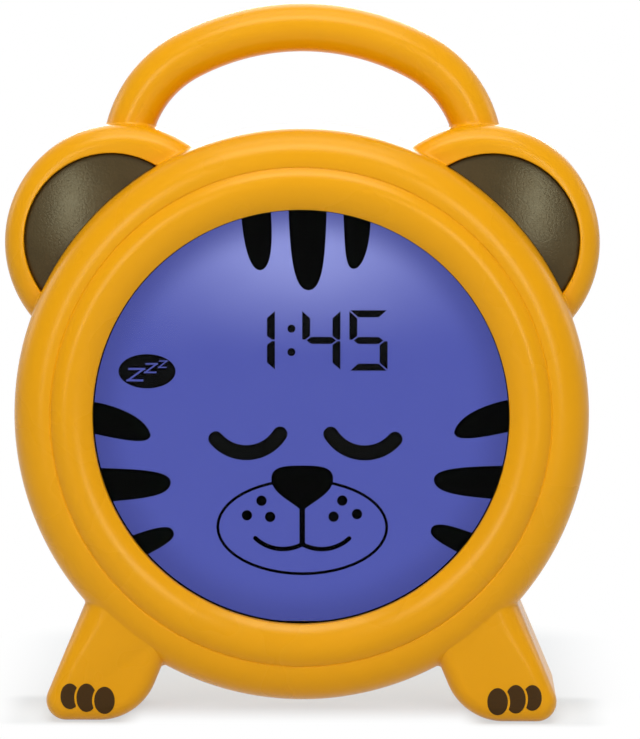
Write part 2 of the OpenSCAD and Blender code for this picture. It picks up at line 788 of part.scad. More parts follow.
module rear_shell() color(YELLOW) {
    difference() {
        union() {
            difference() {
                rear_form();
                turned() rear_cavity_profile();
                handle_bore(false);
                both_sides() {
                    ear_cavity(false);
                    difference() {
                        leg(wall, false);
                        turned() body_rear_profile();
                    }
                    pad_recess();
                }
            }
            intersection() {
                both_sides() for (s = SHELL_SCREWS)
                    bar(s[0], s[1], boss_r, y_split, y_back);
                rear_form();
            }
            intersection() {
                bay_walls();
                rear_form();
            }
            bar(0, door_screw_z, boss_r, bay_floor_y, y_back - tab_t - gap);
            both_sides() for (p = BOARD_SCREWS)
                bar(p[0], board_z + p[1], board_boss_r, board_back_y, back_in + wall / 3);
            // ring that locates the speaker
            difference() {
                bar(0, speaker_z, speaker_r + fit_gap + 1.6, back_in - 4, back_in + wall / 3);
                bar(0, speaker_z, speaker_r + fit_gap, back_in - 4 - past, back_in + wall);
            }
        }
        both_sides() for (s = SHELL_SCREWS) {
            bar(s[0], s[1], screw_r + 4 * screw_clear, y_split - past, y_back);
            bar(s[0], s[1], screw_head_r + gap, y_split + s[2], y_back + past);
        }
        both_sides() for (p = BOARD_SCREWS)
            bar(p[0], board_z + p[1], small_screw_r + screw_clear, board_back_y - past,
                board_front_y + board_screw_l + 0.5);
        sound_holes();
        for (x = BUTTON_X) bar(x, button_z, button_r + gap, back_in - past, y_back + past);
        // slot of the alarm switch and opening of the power inlet
        flat(back_in - past, y_back + past) {
            polygon(slab_points([switch_x + switch_travel / 2, switch_z],
                slider_w + switch_travel + 2 * gap, slider_h + 2 * gap, 1));
            polygon(slab_points([inlet_x, inlet_z], inlet_w + 2 * gap, inlet_h + 2 * gap, inlet_h / 2 + gap - 0.05));
        }
        // inside of the battery bay, its door opening and the pivots
        block([-bay_x, bay_floor_y, bay_z], [bay_x, y_back + past, bay_top]);
        door_opening();
        across(-door_x - hinge_pin_l - gap, door_x + hinge_pin_l + gap)
            translate([pivot_y, pivot_z]) circle(hinge_pin_r + pin_clear);
        bar(0, door_screw_z, screw_r + captive_clear, y_back - tab_t - door_screw_reach - gap, y_back);
        // slots for the tabs of the end contacts
        both_sides() block([bay_x - contact_t - 0.1, board_back_y, bay_top - past],
            [bay_x, board_back_y + 3.2, bay_top + bay_wall + past]);
    }
}

// ---- Display ----

module window_lens() color("#C8D0F0", 0.5) {
    sphere_r = (pow(window_r, 2) + pow(lens_crown, 2)) / (2 * lens_crown);
    half_angle = asin((window_r - fit_gap) / sphere_r);
    turned() polygon(concat(
        [[0, lens_back_y]],
        arc_points([0, lens_seat_y - lens_crown + sphere_r], sphere_r, 270, 270 + half_angle, 6),
        [[window_r - fit_gap, lens_seat_y], [lens_r, lens_seat_y], [lens_r, lens_back_y]]));
}

module stripe(points) {
    intersection() {
        polygon(two_curves(points));
        circle(print_r * face_r / window_r);
    }
}

module nose_and_mouth() {
    left_nose = two_curves(NOSE);
    polygon(concat(left_nose, mirror_points(left_nose, nose_x)));
    difference() {
        polygon(ellipse_points(MUZZLE, muzzle_rx + muzzle_line / 2, muzzle_ry + muzzle_line / 2));
        polygon(ellipse_points(MUZZLE, muzzle_rx - muzzle_line / 2, muzzle_ry - muzzle_line / 2));
    }
    translate([nose_x - philtrum_w / 2, philtrum_end]) square([philtrum_w, 11]);
    smile = stroke_points(MOUTH, mouth_r, mouth_from, mouth_to, mouth_w);
    polygon(smile);
    polygon(mirror_points(smile, nose_x));
}

module face_print() color(BLACK) {
    y_end = lens_back_y + print_t;
    for (s = TOP_STRIPES) drawn(lens_back_y, y_end) stripe(s);
    for (s = SIDE_STRIPES) {
        drawn(lens_back_y, y_end) stripe(s);
        drawn(lens_back_y, y_end)
            stripe([for (p = s) [RIGHT_STRIPE_SHIFT[0] - p[0], RIGHT_STRIPE_SHIFT[1] + p[1]]]);
    }
    drawn(lens_back_y, y_end) nose_and_mouth();
    for (d = DOTS) drawn(lens_back_y, y_end) translate(d) circle(dot_r);
}

module lens_gasket() color("#202020") {
    turned() translate([stack_r - gasket_w, lens_back_y]) square([gasket_w, gasket_t]);
}

module lcd_front_glass() color("#C8D0F0", 0.4) {
    bar(0, body_z, stack_r, glass_y, segment_y);
}

// Cut straight at its foot, so that the front glass shows its contact ledge
module lcd_rear_glass() color("#C8D0F0", 0.4) {
    difference() {
        bar(0, body_z, stack_r, rear_glass_y, diffuser_y);
        block([-stack_r, rear_glass_y - past, body_z - stack_r - past],
            [stack_r, diffuser_y + past, body_z - stack_r + ledge_h]);
    }
}

// One upright segment, in the upper right of a digit
function upright() = [
    [digit_w, digit_h - segment_gap], [digit_w - segment_w, digit_h - segment_h - segment_gap],
    [digit_w - segment_w, (digit_h + segment_h) / 2 + segment_gap],
    [digit_w - segment_w * 0.35, digit_h / 2 + segment_gap * 0.6], [digit_w, digit_h / 2 + segment_gap],
];

function level() = [
    [segment_gap, digit_h], [digit_w - segment_gap, digit_h],
    [digit_w - segment_w - segment_gap, digit_h - segment_h],
    [segment_w + segment_gap, digit_h - segment_h],
];

function middle() = [
    [segment_w * 0.4 + segment_gap, digit_h / 2], [segment_w + segment_gap, (digit_h + segment_h) / 2],
    [digit_w - segment_w - segment_gap, (digit_h + segment_h) / 2],
    [digit_w - segment_w * 0.4 - segment_gap, digit_h / 2],
    [digit_w - segment_w - segment_gap, (digit_h - segment_h) / 2],
    [segment_w + segment_gap, (digit_h - segment_h) / 2],
];

function flip_x(points) = [for (p = points) [digit_w - p[0], p[1]]];
function flip_z(points) = [for (p = points) [p[0], digit_h - p[1]]];
function segment_points(name) =
    name == "a" ? level() : name == "d" ? flip_z(level()) : name == "g" ? middle()
    : name == "b" ? upright() : name == "c" ? flip_z(upright())
    : name == "f" ? flip_x(upright()) : flip_z(flip_x(upright()));

// The letter is three bars, and its top is shifted a little to the right
module sleep_letter(l) {
    lean = 0.15 * l[3];
    w = l[2];
    h = l[3];
    t = l[4];
    translate([l[0], l[1]]) {
        polygon([[lean, h - t], [w + lean, h - t], [w + lean, h], [lean, h]]);
        polygon([[0, 0], [w, 0], [w, t], [0, t]]);
        polygon([[0, t / 2], [t * 1.5, t / 2], [w + lean, h - t / 2], [w + lean - t * 1.5, h - t / 2]]);
    }
}

module lcd_segments() color(BLACK) {
    eye = stroke_points(EYE, eye_r, eye_from, eye_to, eye_w);
    for (digit = TIME, name = digit[1])
        drawn(segment_y, rear_glass_y)
            translate([last_digit_x + digit[0] * digit_pitch, time_z]) polygon(segment_points(name));
    for (c = COLON)
        drawn(segment_y, rear_glass_y) translate([c[0], time_z + c[1]]) circle(colon_r);
    drawn(segment_y, rear_glass_y) polygon(eye);
    drawn(segment_y, rear_glass_y) polygon(mirror_points(eye, eye_mid_x));
    drawn(segment_y, rear_glass_y) difference() {
        polygon(ellipse_points(BADGE, badge_rx, badge_ry));
        for (l = LETTERS) sleep_letter(l);
    }
}

module light_diffuser() color("#6A70C0") {
    bar(0, body_z, stack_r, diffuser_y, tray_y);
}

function lamp_places() =
    concat([[0, 0]], [for (i = [0:led_count - 1]) led_ring_r * [cos(360 * i / led_count), sin(360 * i / led_count)]]);

module reflector_tray() color("white") {
    difference() {
        union() {
            bar(0, body_z, stack_r, tray_y, led_board_y);
            for (a = [45:90:315]) {
                bar(tray_screw_r * cos(a), body_z + tray_screw_r * sin(a), tray_boss_r + 1, tray_y, tray_y + tray_ear_t);
                translate([0, 0, body_z]) rotate([0, -a, 0])
                    block([stack_r - past, tray_y, -tray_boss_r],
                        [tray_screw_r - small_screw_r - past, tray_y + tray_ear_t, tray_boss_r]);
            }
            for (a = [90:120:330])
                bar(stake_ring_r * cos(a), body_z + stake_ring_r * sin(a), stake_r, tray_floor_y, led_board_back + 0.6);
        }
        bar(0, body_z, stack_r - tray_wall, tray_y - past, tray_floor_y);
        for (p = lamp_places()) bar(p[0], body_z + p[1], led_hole_r, tray_floor_y - past, led_board_y + past);
        for (a = [45:90:315])
            bar(tray_screw_r * cos(a), body_z + tray_screw_r * sin(a), small_screw_r + 3 * screw_clear,
                tray_y - past, tray_y + tray_ear_t + past);
    }
}

module tray_screws() color("silver") {
    for (a = [45:90:315])
        screw(tray_screw_r * cos(a), body_z + tray_screw_r * sin(a), tray_y + tray_ear_t,
            tray_screw_l, small_screw_r, small_head_r, 1.6);
}

module led_board() color("#E8E8E0") {
    difference() {
        bar(0, body_z, led_board_r, led_board_y, led_board_back);
        for (a = [90:120:330])
            bar(stake_ring_r * cos(a), body_z + stake_ring_r * sin(a), stake_r + screw_clear,
                led_board_y - past, led_board_back + past);
    }
}

module leds() color("#F0E070") {
    for (p = lamp_places())
        block([p[0] - led_size[0] / 2, led_board_y - led_size[1], body_z + p[1] - led_size[2] / 2],
            [p[0] + led_size[0] / 2, led_board_y, body_z + p[1] + led_size[2] / 2]);
}

// Header pins that carry the lamp board's supply from the main board
module light_leads() color("gold") {
    for (i = [0:3])
        bar(20 + 2.54 * i, board_z + board_h / 2, 0.4, led_board_back, board_front_y);
}

// Flat ribbon from the ledge down, back under the tray and up to the main board
module lcd_ribbon() color("#B06A30") {
    low_z = body_z - stack_r - 1.4;
    PATH = [
        [segment_y + ribbon_t / 2, body_z - stack_r + ledge_h - 0.3], [segment_y + ribbon_t / 2, low_z],
        [ribbon_back_y, low_z], [ribbon_back_y, body_z + ribbon_end_z],
        [board_front_y - ribbon_t / 2, body_z + ribbon_end_z],
    ];
    h = ribbon_t / 2;
    for (i = [0:len(PATH) - 2]) {
        a = PATH[i];
        b = PATH[i + 1];
        block([-ribbon_w / 2, min(a[0], b[0]) - h, min(a[1], b[1]) - h],
            [ribbon_w / 2, max(a[0], b[0]) + h, max(a[1], b[1]) + h]);
    }
}

// ---- Trim ----

module ear_inlay() {
    r = dish_r - fit_gap;
    sphere_r = (pow(r, 2) + pow(inlay_crown, 2)) / (2 * inlay_crown);
    rim_y = dish_y - inlay_t;
    half_angle = asin(r / sphere_r);
    difference() {
        turned(dish_x, dish_z) polygon(concat(
            [[0, dish_y]],
            arc_points([0, rim_y - inlay_crown + sphere_r], sphere_r, 270, 270 + half_angle, 8),
            [[r, dish_y]]));
        bar(0, body_z, body_r + fit_gap, y_front - past, y_back);
    }
}

module left_ear_inlay() color(BROWN) mirror([1, 0, 0]) ear_inlay();

module right_ear_inlay() color(BROWN) ear_inlay();

module left_toe_inlays() color(BROWN)
    mirror([1, 0, 0]) toes(leg_front_y - 0.1, leg_front_y + toe_t - 0.1, 0);

module right_toe_inlays() color(BROWN)
    toes(leg_front_y - 0.1, leg_front_y + toe_t - 0.1, 0);

module foot_pad() {
    flat(y_split - pad_l / 2, y_split + pad_l / 2)
        translate([pad_x - pad_w / 2, 0]) square([pad_w, pad_t]);
}

module left_foot_pad() color("#303030") mirror([1, 0, 0]) foot_pad();

module right_foot_pad() color("#303030") foot_pad();

module shell_screws() color("silver") {
    both_sides() for (s = SHELL_SCREWS)
        screw(s[0], s[1], y_split + s[2], s[3], screw_r, screw_head_r, screw_head_h);
}

// ---- Main board ----

module main_board() color("#206030") {
    difference() {
        block([-board_w / 2, board_front_y, board_z], [board_w / 2, board_back_y, board_z + board_h]);
        both_sides() for (p = BOARD_SCREWS)
            bar(p[0], board_z + p[1], small_screw_r + 3 * screw_clear, board_front_y - past, board_back_y + past);
    }
}

module board_chips() color("#202020") {
    for (c = CHIPS)
        block([c[0] - c[2] / 2, board_front_y - c[4], board_z + c[1] - c[3] / 2],
            [c[0] + c[2] / 2, board_front_y, board_z + c[1] + c[3] / 2]);
}

module board_screws() color("silver") {
    both_sides() for (p = BOARD_SCREWS)
        screw(p[0], board_z + p[1], board_front_y, board_screw_l, small_screw_r, small_head_r, 1.6, -1);
}

module key_switches() color("#303030") {
    for (x = BUTTON_X) difference() {
        block([x - key_case / 2, board_back_y, button_z - key_case / 2],
            [x + key_case / 2, board_back_y + key_case_h, button_z + key_case / 2]);
        bar(x, button_z, plunger_r + plunger_clear, plunger_top_y - plunger_l - button_travel - 0.2,
            board_back_y + key_case_h + past);
    }
}

module plunger(i) color("#E0E0E0") {
    bar(BUTTON_X[i], button_z, plunger_r, plunger_top_y - plunger_l, plunger_top_y);
}

module hour_plunger() plunger(0);
module minute_plunger() plunger(1);
module alarm_plunger() plunger(2);
module light_plunger() plunger(3);
module volume_plunger() plunger(4);
module melody_plunger() plunger(5);

// Cap with a rounded edge, a flange that keeps it in the shell and a stem that rests on the plunger
module push_button(i) color("#5A4522") {
    edge = 0.5;
    turned(BUTTON_X[i], button_z) polygon(concat(
        [[0, button_back_y], [0, plunger_top_y], [stem_r, plunger_top_y], [stem_r, flange_y]],
        [[button_r + flange_w, flange_y], [button_r + flange_w, flange_y + flange_t]],
        [[button_r, flange_y + flange_t]],
        arc_points([button_r - edge, button_back_y - edge], edge, 0, 90, 4)));
}

module hour_button() push_button(0);
module minute_button() push_button(1);
module alarm_button() push_button(2);
module light_button() push_button(3);
module volume_button() push_button(4);
module melody_button() push_button(5);

// Slide switch on the board; its lever is part of the slider that the thumb moves
module alarm_switch() color("silver") {
    mid = switch_x + switch_travel / 2;
    top = board_back_y + switch_case[1];
    difference() {
        block([mid - switch_case[0] / 2, board_back_y, switch_z - switch_case[2] / 2],
            [mid + switch_case[0] / 2, top, switch_z + switch_case[2] / 2]);
        block([switch_x - lever_w / 2 - gap, top - lever_d, switch_z - lever_w / 2 - gap],
            [switch_x + switch_travel + lever_w / 2 + gap, top + past, switch_z + lever_w / 2 + gap]);
    }
}

module alarm_slider() color(BROWN) {
    top = board_back_y + switch_case[1];
    cover_w = slider_w + switch_travel + 5;
    difference() {
        union() {
            block([switch_x - lever_w / 2, top - lever_d + gap, switch_z - lever_w / 2],
                [switch_x + lever_w / 2, flange_y + 0.9, switch_z + lever_w / 2]);
            block([switch_x - cover_w / 2, flange_y + 0.7, switch_z - slider_h],
                [switch_x + cover_w / 2, back_in - gap, switch_z + slider_h]);
            block([switch_x - slider_w / 2, back_in - gap - 0.5, switch_z - slider_h / 2],
                [switch_x + slider_w / 2, y_back + 0.8, switch_z + slider_h / 2]);
        }
        // thumb grooves
        for (g = [-1, 0, 1])
            block([switch_x + g - 0.25, y_back + 0.4, switch_z - slider_h],
                [switch_x + g + 0.25, y_back + past, switch_z + slider_h]);
    }
}

module power_inlet() color("silver") {
    difference() {
        flat(board_back_y, inlet_back_y) polygon(slab_points([inlet_x, inlet_z], inlet_w, inlet_h, inlet_h / 2 - 0.05));
        flat(inlet_back_y - 8, inlet_back_y + past) polygon(slab_points([inlet_x, inlet_z],
            inlet_w - 2 * inlet_wall, inlet_h - 2 * inlet_wall, inlet_h / 2 - inlet_wall - 0.05));
    }
    block([inlet_x - 3.2, inlet_back_y - 8.5, inlet_z - 0.35], [inlet_x + 3.2, inlet_back_y - 0.8, inlet_z + 0.35]);
}

// ---- Speaker ----

module speaker() color("#404040") {
    turned(0, speaker_z) polygon([
        [0, back_in - 1.2], [0, magnet_y], [magnet_r, magnet_y], [magnet_r, magnet_y + magnet_t],
        [basket_r, back_in - speaker_rim_t], [speaker_r, back_in - speaker_rim_t], [speaker_r, back_in],
        [basket_r - 1, back_in], [magnet_r, back_in - 1.8], [magnet_r / 2, back_in - 2.6],
    ]);
}

// Sprung pins between the main board and the speaker's terminals
module speaker_contacts() color("gold") {
    for (x = [-4, 4]) {
        bar(x, board_z + board_h - 2.5, 0.5, board_back_y, magnet_y);
        bar(x, board_z + board_h - 2.5, 0.9, board_back_y, board_back_y + 0.9);
    }
}

// ---- Batteries ----

function cell_side(i) = i % 2 == 0 ? 1 : -1;
function cell_z(i) = bay_z + 0.2 + cell_pitch * (i + 0.5);

// Cell and spring lie along X; side 1 has the cell's button on the right
module along_x(i) {
    translate([0, cell_y, cell_z(i)]) rotate([0, 90, 0]) mirror([0, 0, cell_side(i) < 0 ? 1 : 0])
        children();
}

module batteries() color("#4060A0") {
    nub_l = 1.2;
    nub_r = 1.9;
    tip = bay_x - contact_t;
    for (i = [0:cell_count - 1]) along_x(i) {
        translate([0, 0, tip - cell_l]) cylinder(r = cell_r, h = cell_l - nub_l);
        translate([0, 0, tip - nub_l - 0.1]) cylinder(r = nub_r, h = nub_l + 0.1);
    }
}

// Cone-shaped coil: a ring of the wire's outline is carried round, inward and along X
module coil() {
    sides = 6;
    steps = 14 * spring_turns;
    start = -bay_x + contact_t + spring_wire_r;
    run = spring_l - 2 * spring_wire_r;
    points = [for (i = [0:steps], k = [0:sides - 1])
        let (t = i / steps, a = 360 * spring_turns * t, r = spring_r * (1 - t / 2) + spring_wire_r * cos(60 * k))
            [r * cos(a), r * sin(a), start + run * t + spring_wire_r * sin(60 * k)]];
    faces = concat(
        [[for (k = [0:sides - 1]) k]],
        [[for (k = [sides - 1:-1:0]) steps * sides + k]],
        [for (i = [0:steps - 1], k = [0:sides - 1])
            let (n = (k + 1) % sides)
                [i * sides + k, (i + 1) * sides + k, (i + 1) * sides + n, i * sides + n]]);
    polyhedron(points, faces);
}

module contact_springs() color("silver") {
    for (i = [0:cell_count - 1]) along_x(i) coil();
}

module contact_plates() color("silver") {
    half = cell_pitch / 2 - 1.2;
    for (side = [-1, 1], i = [0:cell_count - 1])
        block([min(side * bay_x, side * (bay_x - contact_t)), cell_y - contact_w / 2, cell_z(i) - half],
            [max(side * bay_x, side * (bay_x - contact_t)), cell_y + contact_w / 2, cell_z(i) + half]);
    // tabs that run up through the bay's top wall to the main board
    for (side = [-1, 1])
        block([min(side * bay_x, side * (bay_x - contact_t)), board_back_y, cell_z(cell_count - 1) + half - past],
            [max(side * bay_x, side * (bay_x - contact_t)), board_back_y + 3, board_z + 3]);
}

module battery_door() color(YELLOW) {
    difference() {
        union() {
            block([-door_x, y_back - door_t, door_z], [door_x, y_back, pivot_z]);
            block([-tab_x, y_back - tab_t, tab_z], [tab_x, y_back, door_z - 2 * gap]);
            block([-tab_x, y_back - door_t, tab_z], [tab_x, y_back, door_z + past]);
            across(-door_x, door_x) translate([pivot_y, pivot_z]) circle(knuckle_r);
            across(-door_x - hinge_pin_l, door_x + hinge_pin_l)
                translate([pivot_y, pivot_z]) circle(hinge_pin_r);
        }
        bar(0, door_screw_z, screw_r + tab_hole_clear, y_back - tab_t - past, y_back + past);
        bar(0, door_screw_z, screw_head_r + fit_gap, y_back - screw_head_h, y_back + past);
        // grip ribs above the tab
        for (i = [0:3]) block([-8, y_back - 0.4, door_z + 4 + 2.4 * i], [8, y_back + past, door_z + 5.2 + 2.4 * i]);
    }
}

module door_screw() color("silver") {
    screw(0, door_screw_z, y_back - screw_head_h, tab_t - screw_head_h + door_screw_reach,
        screw_r, screw_head_r, screw_head_h - 0.2);
}

front_shell();
rear_shell();
window_lens();
face_print();
lens_gasket();
lcd_front_glass();
lcd_segments();
lcd_rear_glass();
light_diffuser();
reflector_tray();
tray_screws();
led_board();
leds();
light_leads();
lcd_ribbon();
left_ear_inlay();
right_ear_inlay();
left_toe_inlays();
right_toe_inlays();
left_foot_pad();
right_foot_pad();
shell_screws();
main_board();
board_chips();
board_screws();
key_switches();
hour_button();
minute_button();
alarm_button();
light_button();
volume_button();
melody_button();
hour_plunger();
minute_plunger();
alarm_plunger();
light_plunger();
volume_plunger();
melody_plunger();
alarm_switch();
alarm_slider();
power_inlet();
speaker();
speaker_contacts();
batteries();
contact_springs();
contact_plates();
battery_door();
door_screw();
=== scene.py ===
import json

import bmesh
import bpy
import numpy as np
from mathutils import Matrix, Vector


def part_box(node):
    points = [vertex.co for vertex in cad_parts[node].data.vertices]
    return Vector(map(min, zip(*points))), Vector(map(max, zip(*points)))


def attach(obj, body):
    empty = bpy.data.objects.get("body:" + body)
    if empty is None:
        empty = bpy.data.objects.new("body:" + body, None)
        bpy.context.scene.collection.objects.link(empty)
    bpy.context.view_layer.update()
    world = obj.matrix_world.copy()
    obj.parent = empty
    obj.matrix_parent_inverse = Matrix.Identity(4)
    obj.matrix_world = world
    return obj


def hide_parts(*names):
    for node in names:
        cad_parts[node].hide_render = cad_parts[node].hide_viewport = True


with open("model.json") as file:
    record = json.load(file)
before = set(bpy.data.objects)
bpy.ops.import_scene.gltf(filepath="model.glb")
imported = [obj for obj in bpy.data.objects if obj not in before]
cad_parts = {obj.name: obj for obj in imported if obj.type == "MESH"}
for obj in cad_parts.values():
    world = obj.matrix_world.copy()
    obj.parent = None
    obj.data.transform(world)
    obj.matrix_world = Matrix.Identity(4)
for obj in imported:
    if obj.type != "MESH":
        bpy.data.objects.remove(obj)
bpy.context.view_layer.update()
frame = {"nodes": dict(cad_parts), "record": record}

bl_info = {
    "name": "Tiger night light clock",
    "version": (1, 0, 0),
    "blender": (4, 5, 0),
    "location": "3D View > Sidebar > Clock",
    "description": "Dresses the packed alarm clock: shells, lens, inlays, buttons, door and finishes",
    "category": "Object",
}

MM = 0.001

# Small distances that the pieces share
SEAM_GAP = 0.03 * MM  # half the gap between the two shells
PAST = MM  # how far a cutter reaches past the face that it works on
LAP = 0.5 * MM  # how far a form that is joined on reaches into the other one
CAP_RIM = 0.6 * MM  # ring of faces between a rolled edge and the flat face inside it
BITE = 0.1 * MM  # how far two cutters overlap
SHARP = 0.01 * MM  # corner radius of a plain box
POLE_R = MM  # radius of the flat left at the top of a dome
MOUTH = 0.25 * MM  # chamfer at the mouth of an opening in the back
CREASE = np.radians(28)  # folds sharper than this keep an edge in the shading

# Shells and lens
SEAT_D = 4.6 * MM  # depth of the lens's seat behind the bezel's crest
LENS_CROWN = 1.6 * MM  # height of the lens's dome
POCKET_RIB = 1.8 * MM  # wall round the pocket of the lens and the display
POCKET_SHORT = 1.5 * MM  # distance of that wall's end from the reflector tray
RIBBON_WAY = 11 * MM  # half the width of the display ribbon's way out
LEG_LENGTH = 38 * MM  # length of a leg's form along its own axis
PAD_PROUD = 0.4 * MM  # how far a foot pad stands below the sole

# Screws and the bosses that they turn into
BOSS_R = 4 * MM  # bosses of the case screws and of the door's screw
CASE_BORE_R = 1.55 * MM  # hole that a case screw turns into
CASE_SHANK_R, CASE_HEAD_R = 1.7 * MM, 3.1 * MM  # holes round its shank and its head
CASE_SCREW_L = 16 * MM  # from the seat of its head to the bottom of its hole
BORE_ROOM = 0.3 * MM  # room below a tray screw's tip
TRAY_BOSS_R, TRAY_BORE_R, TRAY_HEAD_R = 3.2 * MM, 1.25 * MM, 2.2 * MM  # boss, its hole, and the head
BOARD_BOSS_R = 2.9 * MM  # bosses of the main board
DOOR_HOLE_R = 2.2 * MM  # hole in the rear shell round the door's screw
DOOR_SHANK_R, DOOR_HEAD_R = 1.9 * MM, 2.95 * MM  # holes in the door round its shank and its head
DOOR_SCREW_REACH = 4.2 * MM  # how far that hole in the rear shell reaches past the tab

# Battery bay and its door
BAY_WALL, BAY_ROOM = 1.8 * MM, 0.75 * MM  # wall of the bay, and room below the lowest cell
BAY_FRAME_T, BAY_FRAME_W = 4.2 * MM, 3.5 * MM  # frame round the door's opening
DOOR_T, DOOR_TAB_T = 2 * MM, 4 * MM  # thickness of the door's plate and of its tab
DOOR_TAB_W, DOOR_TAB_H = 6 * MM, 5.4 * MM  # half the tab's width, and its height below the plate
DOOR_CORNER = 0.8 * MM  # corner radius of plate and tab, and of their openings
KNUCKLE_R, PIN_R, PIN_L = 1.8 * MM, 1.2 * MM, 2 * MM  # hinge knuckle, and its pins beyond the plate
PIN_CLEAR = 0.07 * MM  # clearance in radius round the pins

# Buttons, slider and speaker
BUTTONS = ("hour", "minute", "alarm", "light", "volume", "melody")
CAP_R = 5 * MM  # radius of a button's cap
SLIDE_TRAVEL = 4 * MM  # way of the alarm's slider
SLOT_W, SLOT_H = 4.3 * MM, 1.8 * MM  # half the width and height of the slider's slot
SPEAKER_RING_T, SPEAKER_RING_D = 1.6 * MM, 4 * MM  # ring that locates the speaker
SOUND_HOLE_R, SOUND_PITCH = 1.1 * MM, 4.4 * MM  # sound holes and their distance from each other
SOUND_FIELD = 3.1  # radius of the field of sound holes, in pitches

# Toes of the right foot, from the outside in: x, height, half width and half height in millimetres
TOES = ((61.4, 7.4, 2.5, 3.45), (57.0, 7.0, 2.64, 3.85), (52.2, 6.3, 2.72, 3.7))
TOE_GAP = 0.6 * MM  # casing that shows between two toes
TOE_PROUD, TOE_SUNK = 0.14 * MM, 0.6 * MM  # how far the toes stand out of the foot, and reach into it

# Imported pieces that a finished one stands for
REBUILT = {
    "front_shell", "rear_shell", "window_lens", "left_ear_inlay", "right_ear_inlay", "left_toe_inlays",
    "right_toe_inlays", "battery_door", *[name + "_button" for name in BUTTONS],
}

# Softboxes: name, place, aim, width and height in metres, and power in watts
LAMPS = (
    ("KeyLeft", (-0.34, -0.89, 0.27), (0, 0, 0.11), (0.12, 0.42), 1.7),
    ("KeyRight", (0.32, -0.89, 0.27), (0, 0, 0.11), (0.13, 0.42), 1.75),
    ("TopFront", (0.0, -0.5, 0.8), (0, 0, 0.14), (0.6, 0.3), 4.0),
    ("Overhead", (0.0, -0.12, 0.85), (0, 0, 0.12), (0.6, 0.3), 1.5),
    ("BackTop", (0.0, 0.75, 1.05), (0, 0, 0.1), (1.0, 0.6), 4.8),
    ("BackLow", (0.0, 0.95, 0.42), (0, 0, 0.1), (0.5, 0.4), 3.2),
    ("SideLeft", (-0.95, 0.35, 0.4), (0, 0, 0.1), (0.4, 0.4), 1.1),
    ("SideRight", (0.95, 0.35, 0.4), (0, 0, 0.1), (0.4, 0.4), 1.1),
)


# ---- Sizes, colours and the stage, as the panel shows them ----


def length(name, millimetres, description):
    """A length that the panel shows, written here in millimetres and kept in metres."""
    return bpy.props.FloatProperty(
        name=name, description=description, default=millimetres * MM, min=0.0, unit="LENGTH",
        precision=5,
    )


def degrees(name, angle, description):
    """An angle that the panel shows, written here in degrees and kept in radians."""
    return bpy.props.FloatProperty(
        name=name, description=description, default=np.radians(angle), subtype="ANGLE"
    )


def linear(shade):
    """Light of a screen shade from 0 to 255: the screen's curve taken off."""
    share = shade / 255.0
    return share / 12.92 if share <= 0.04045 else ((share + 0.055) / 1.055) ** 2.4


def colour(name, red, green, blue, description):
    """A colour that the panel shows, written here as screen shades from 0 to 255."""
    return bpy.props.FloatVectorProperty(
        name=name, description=description, default=(linear(red), linear(green), linear(blue)),
        size=3, min=0.0, max=1.0, subtype="COLOR",
    )


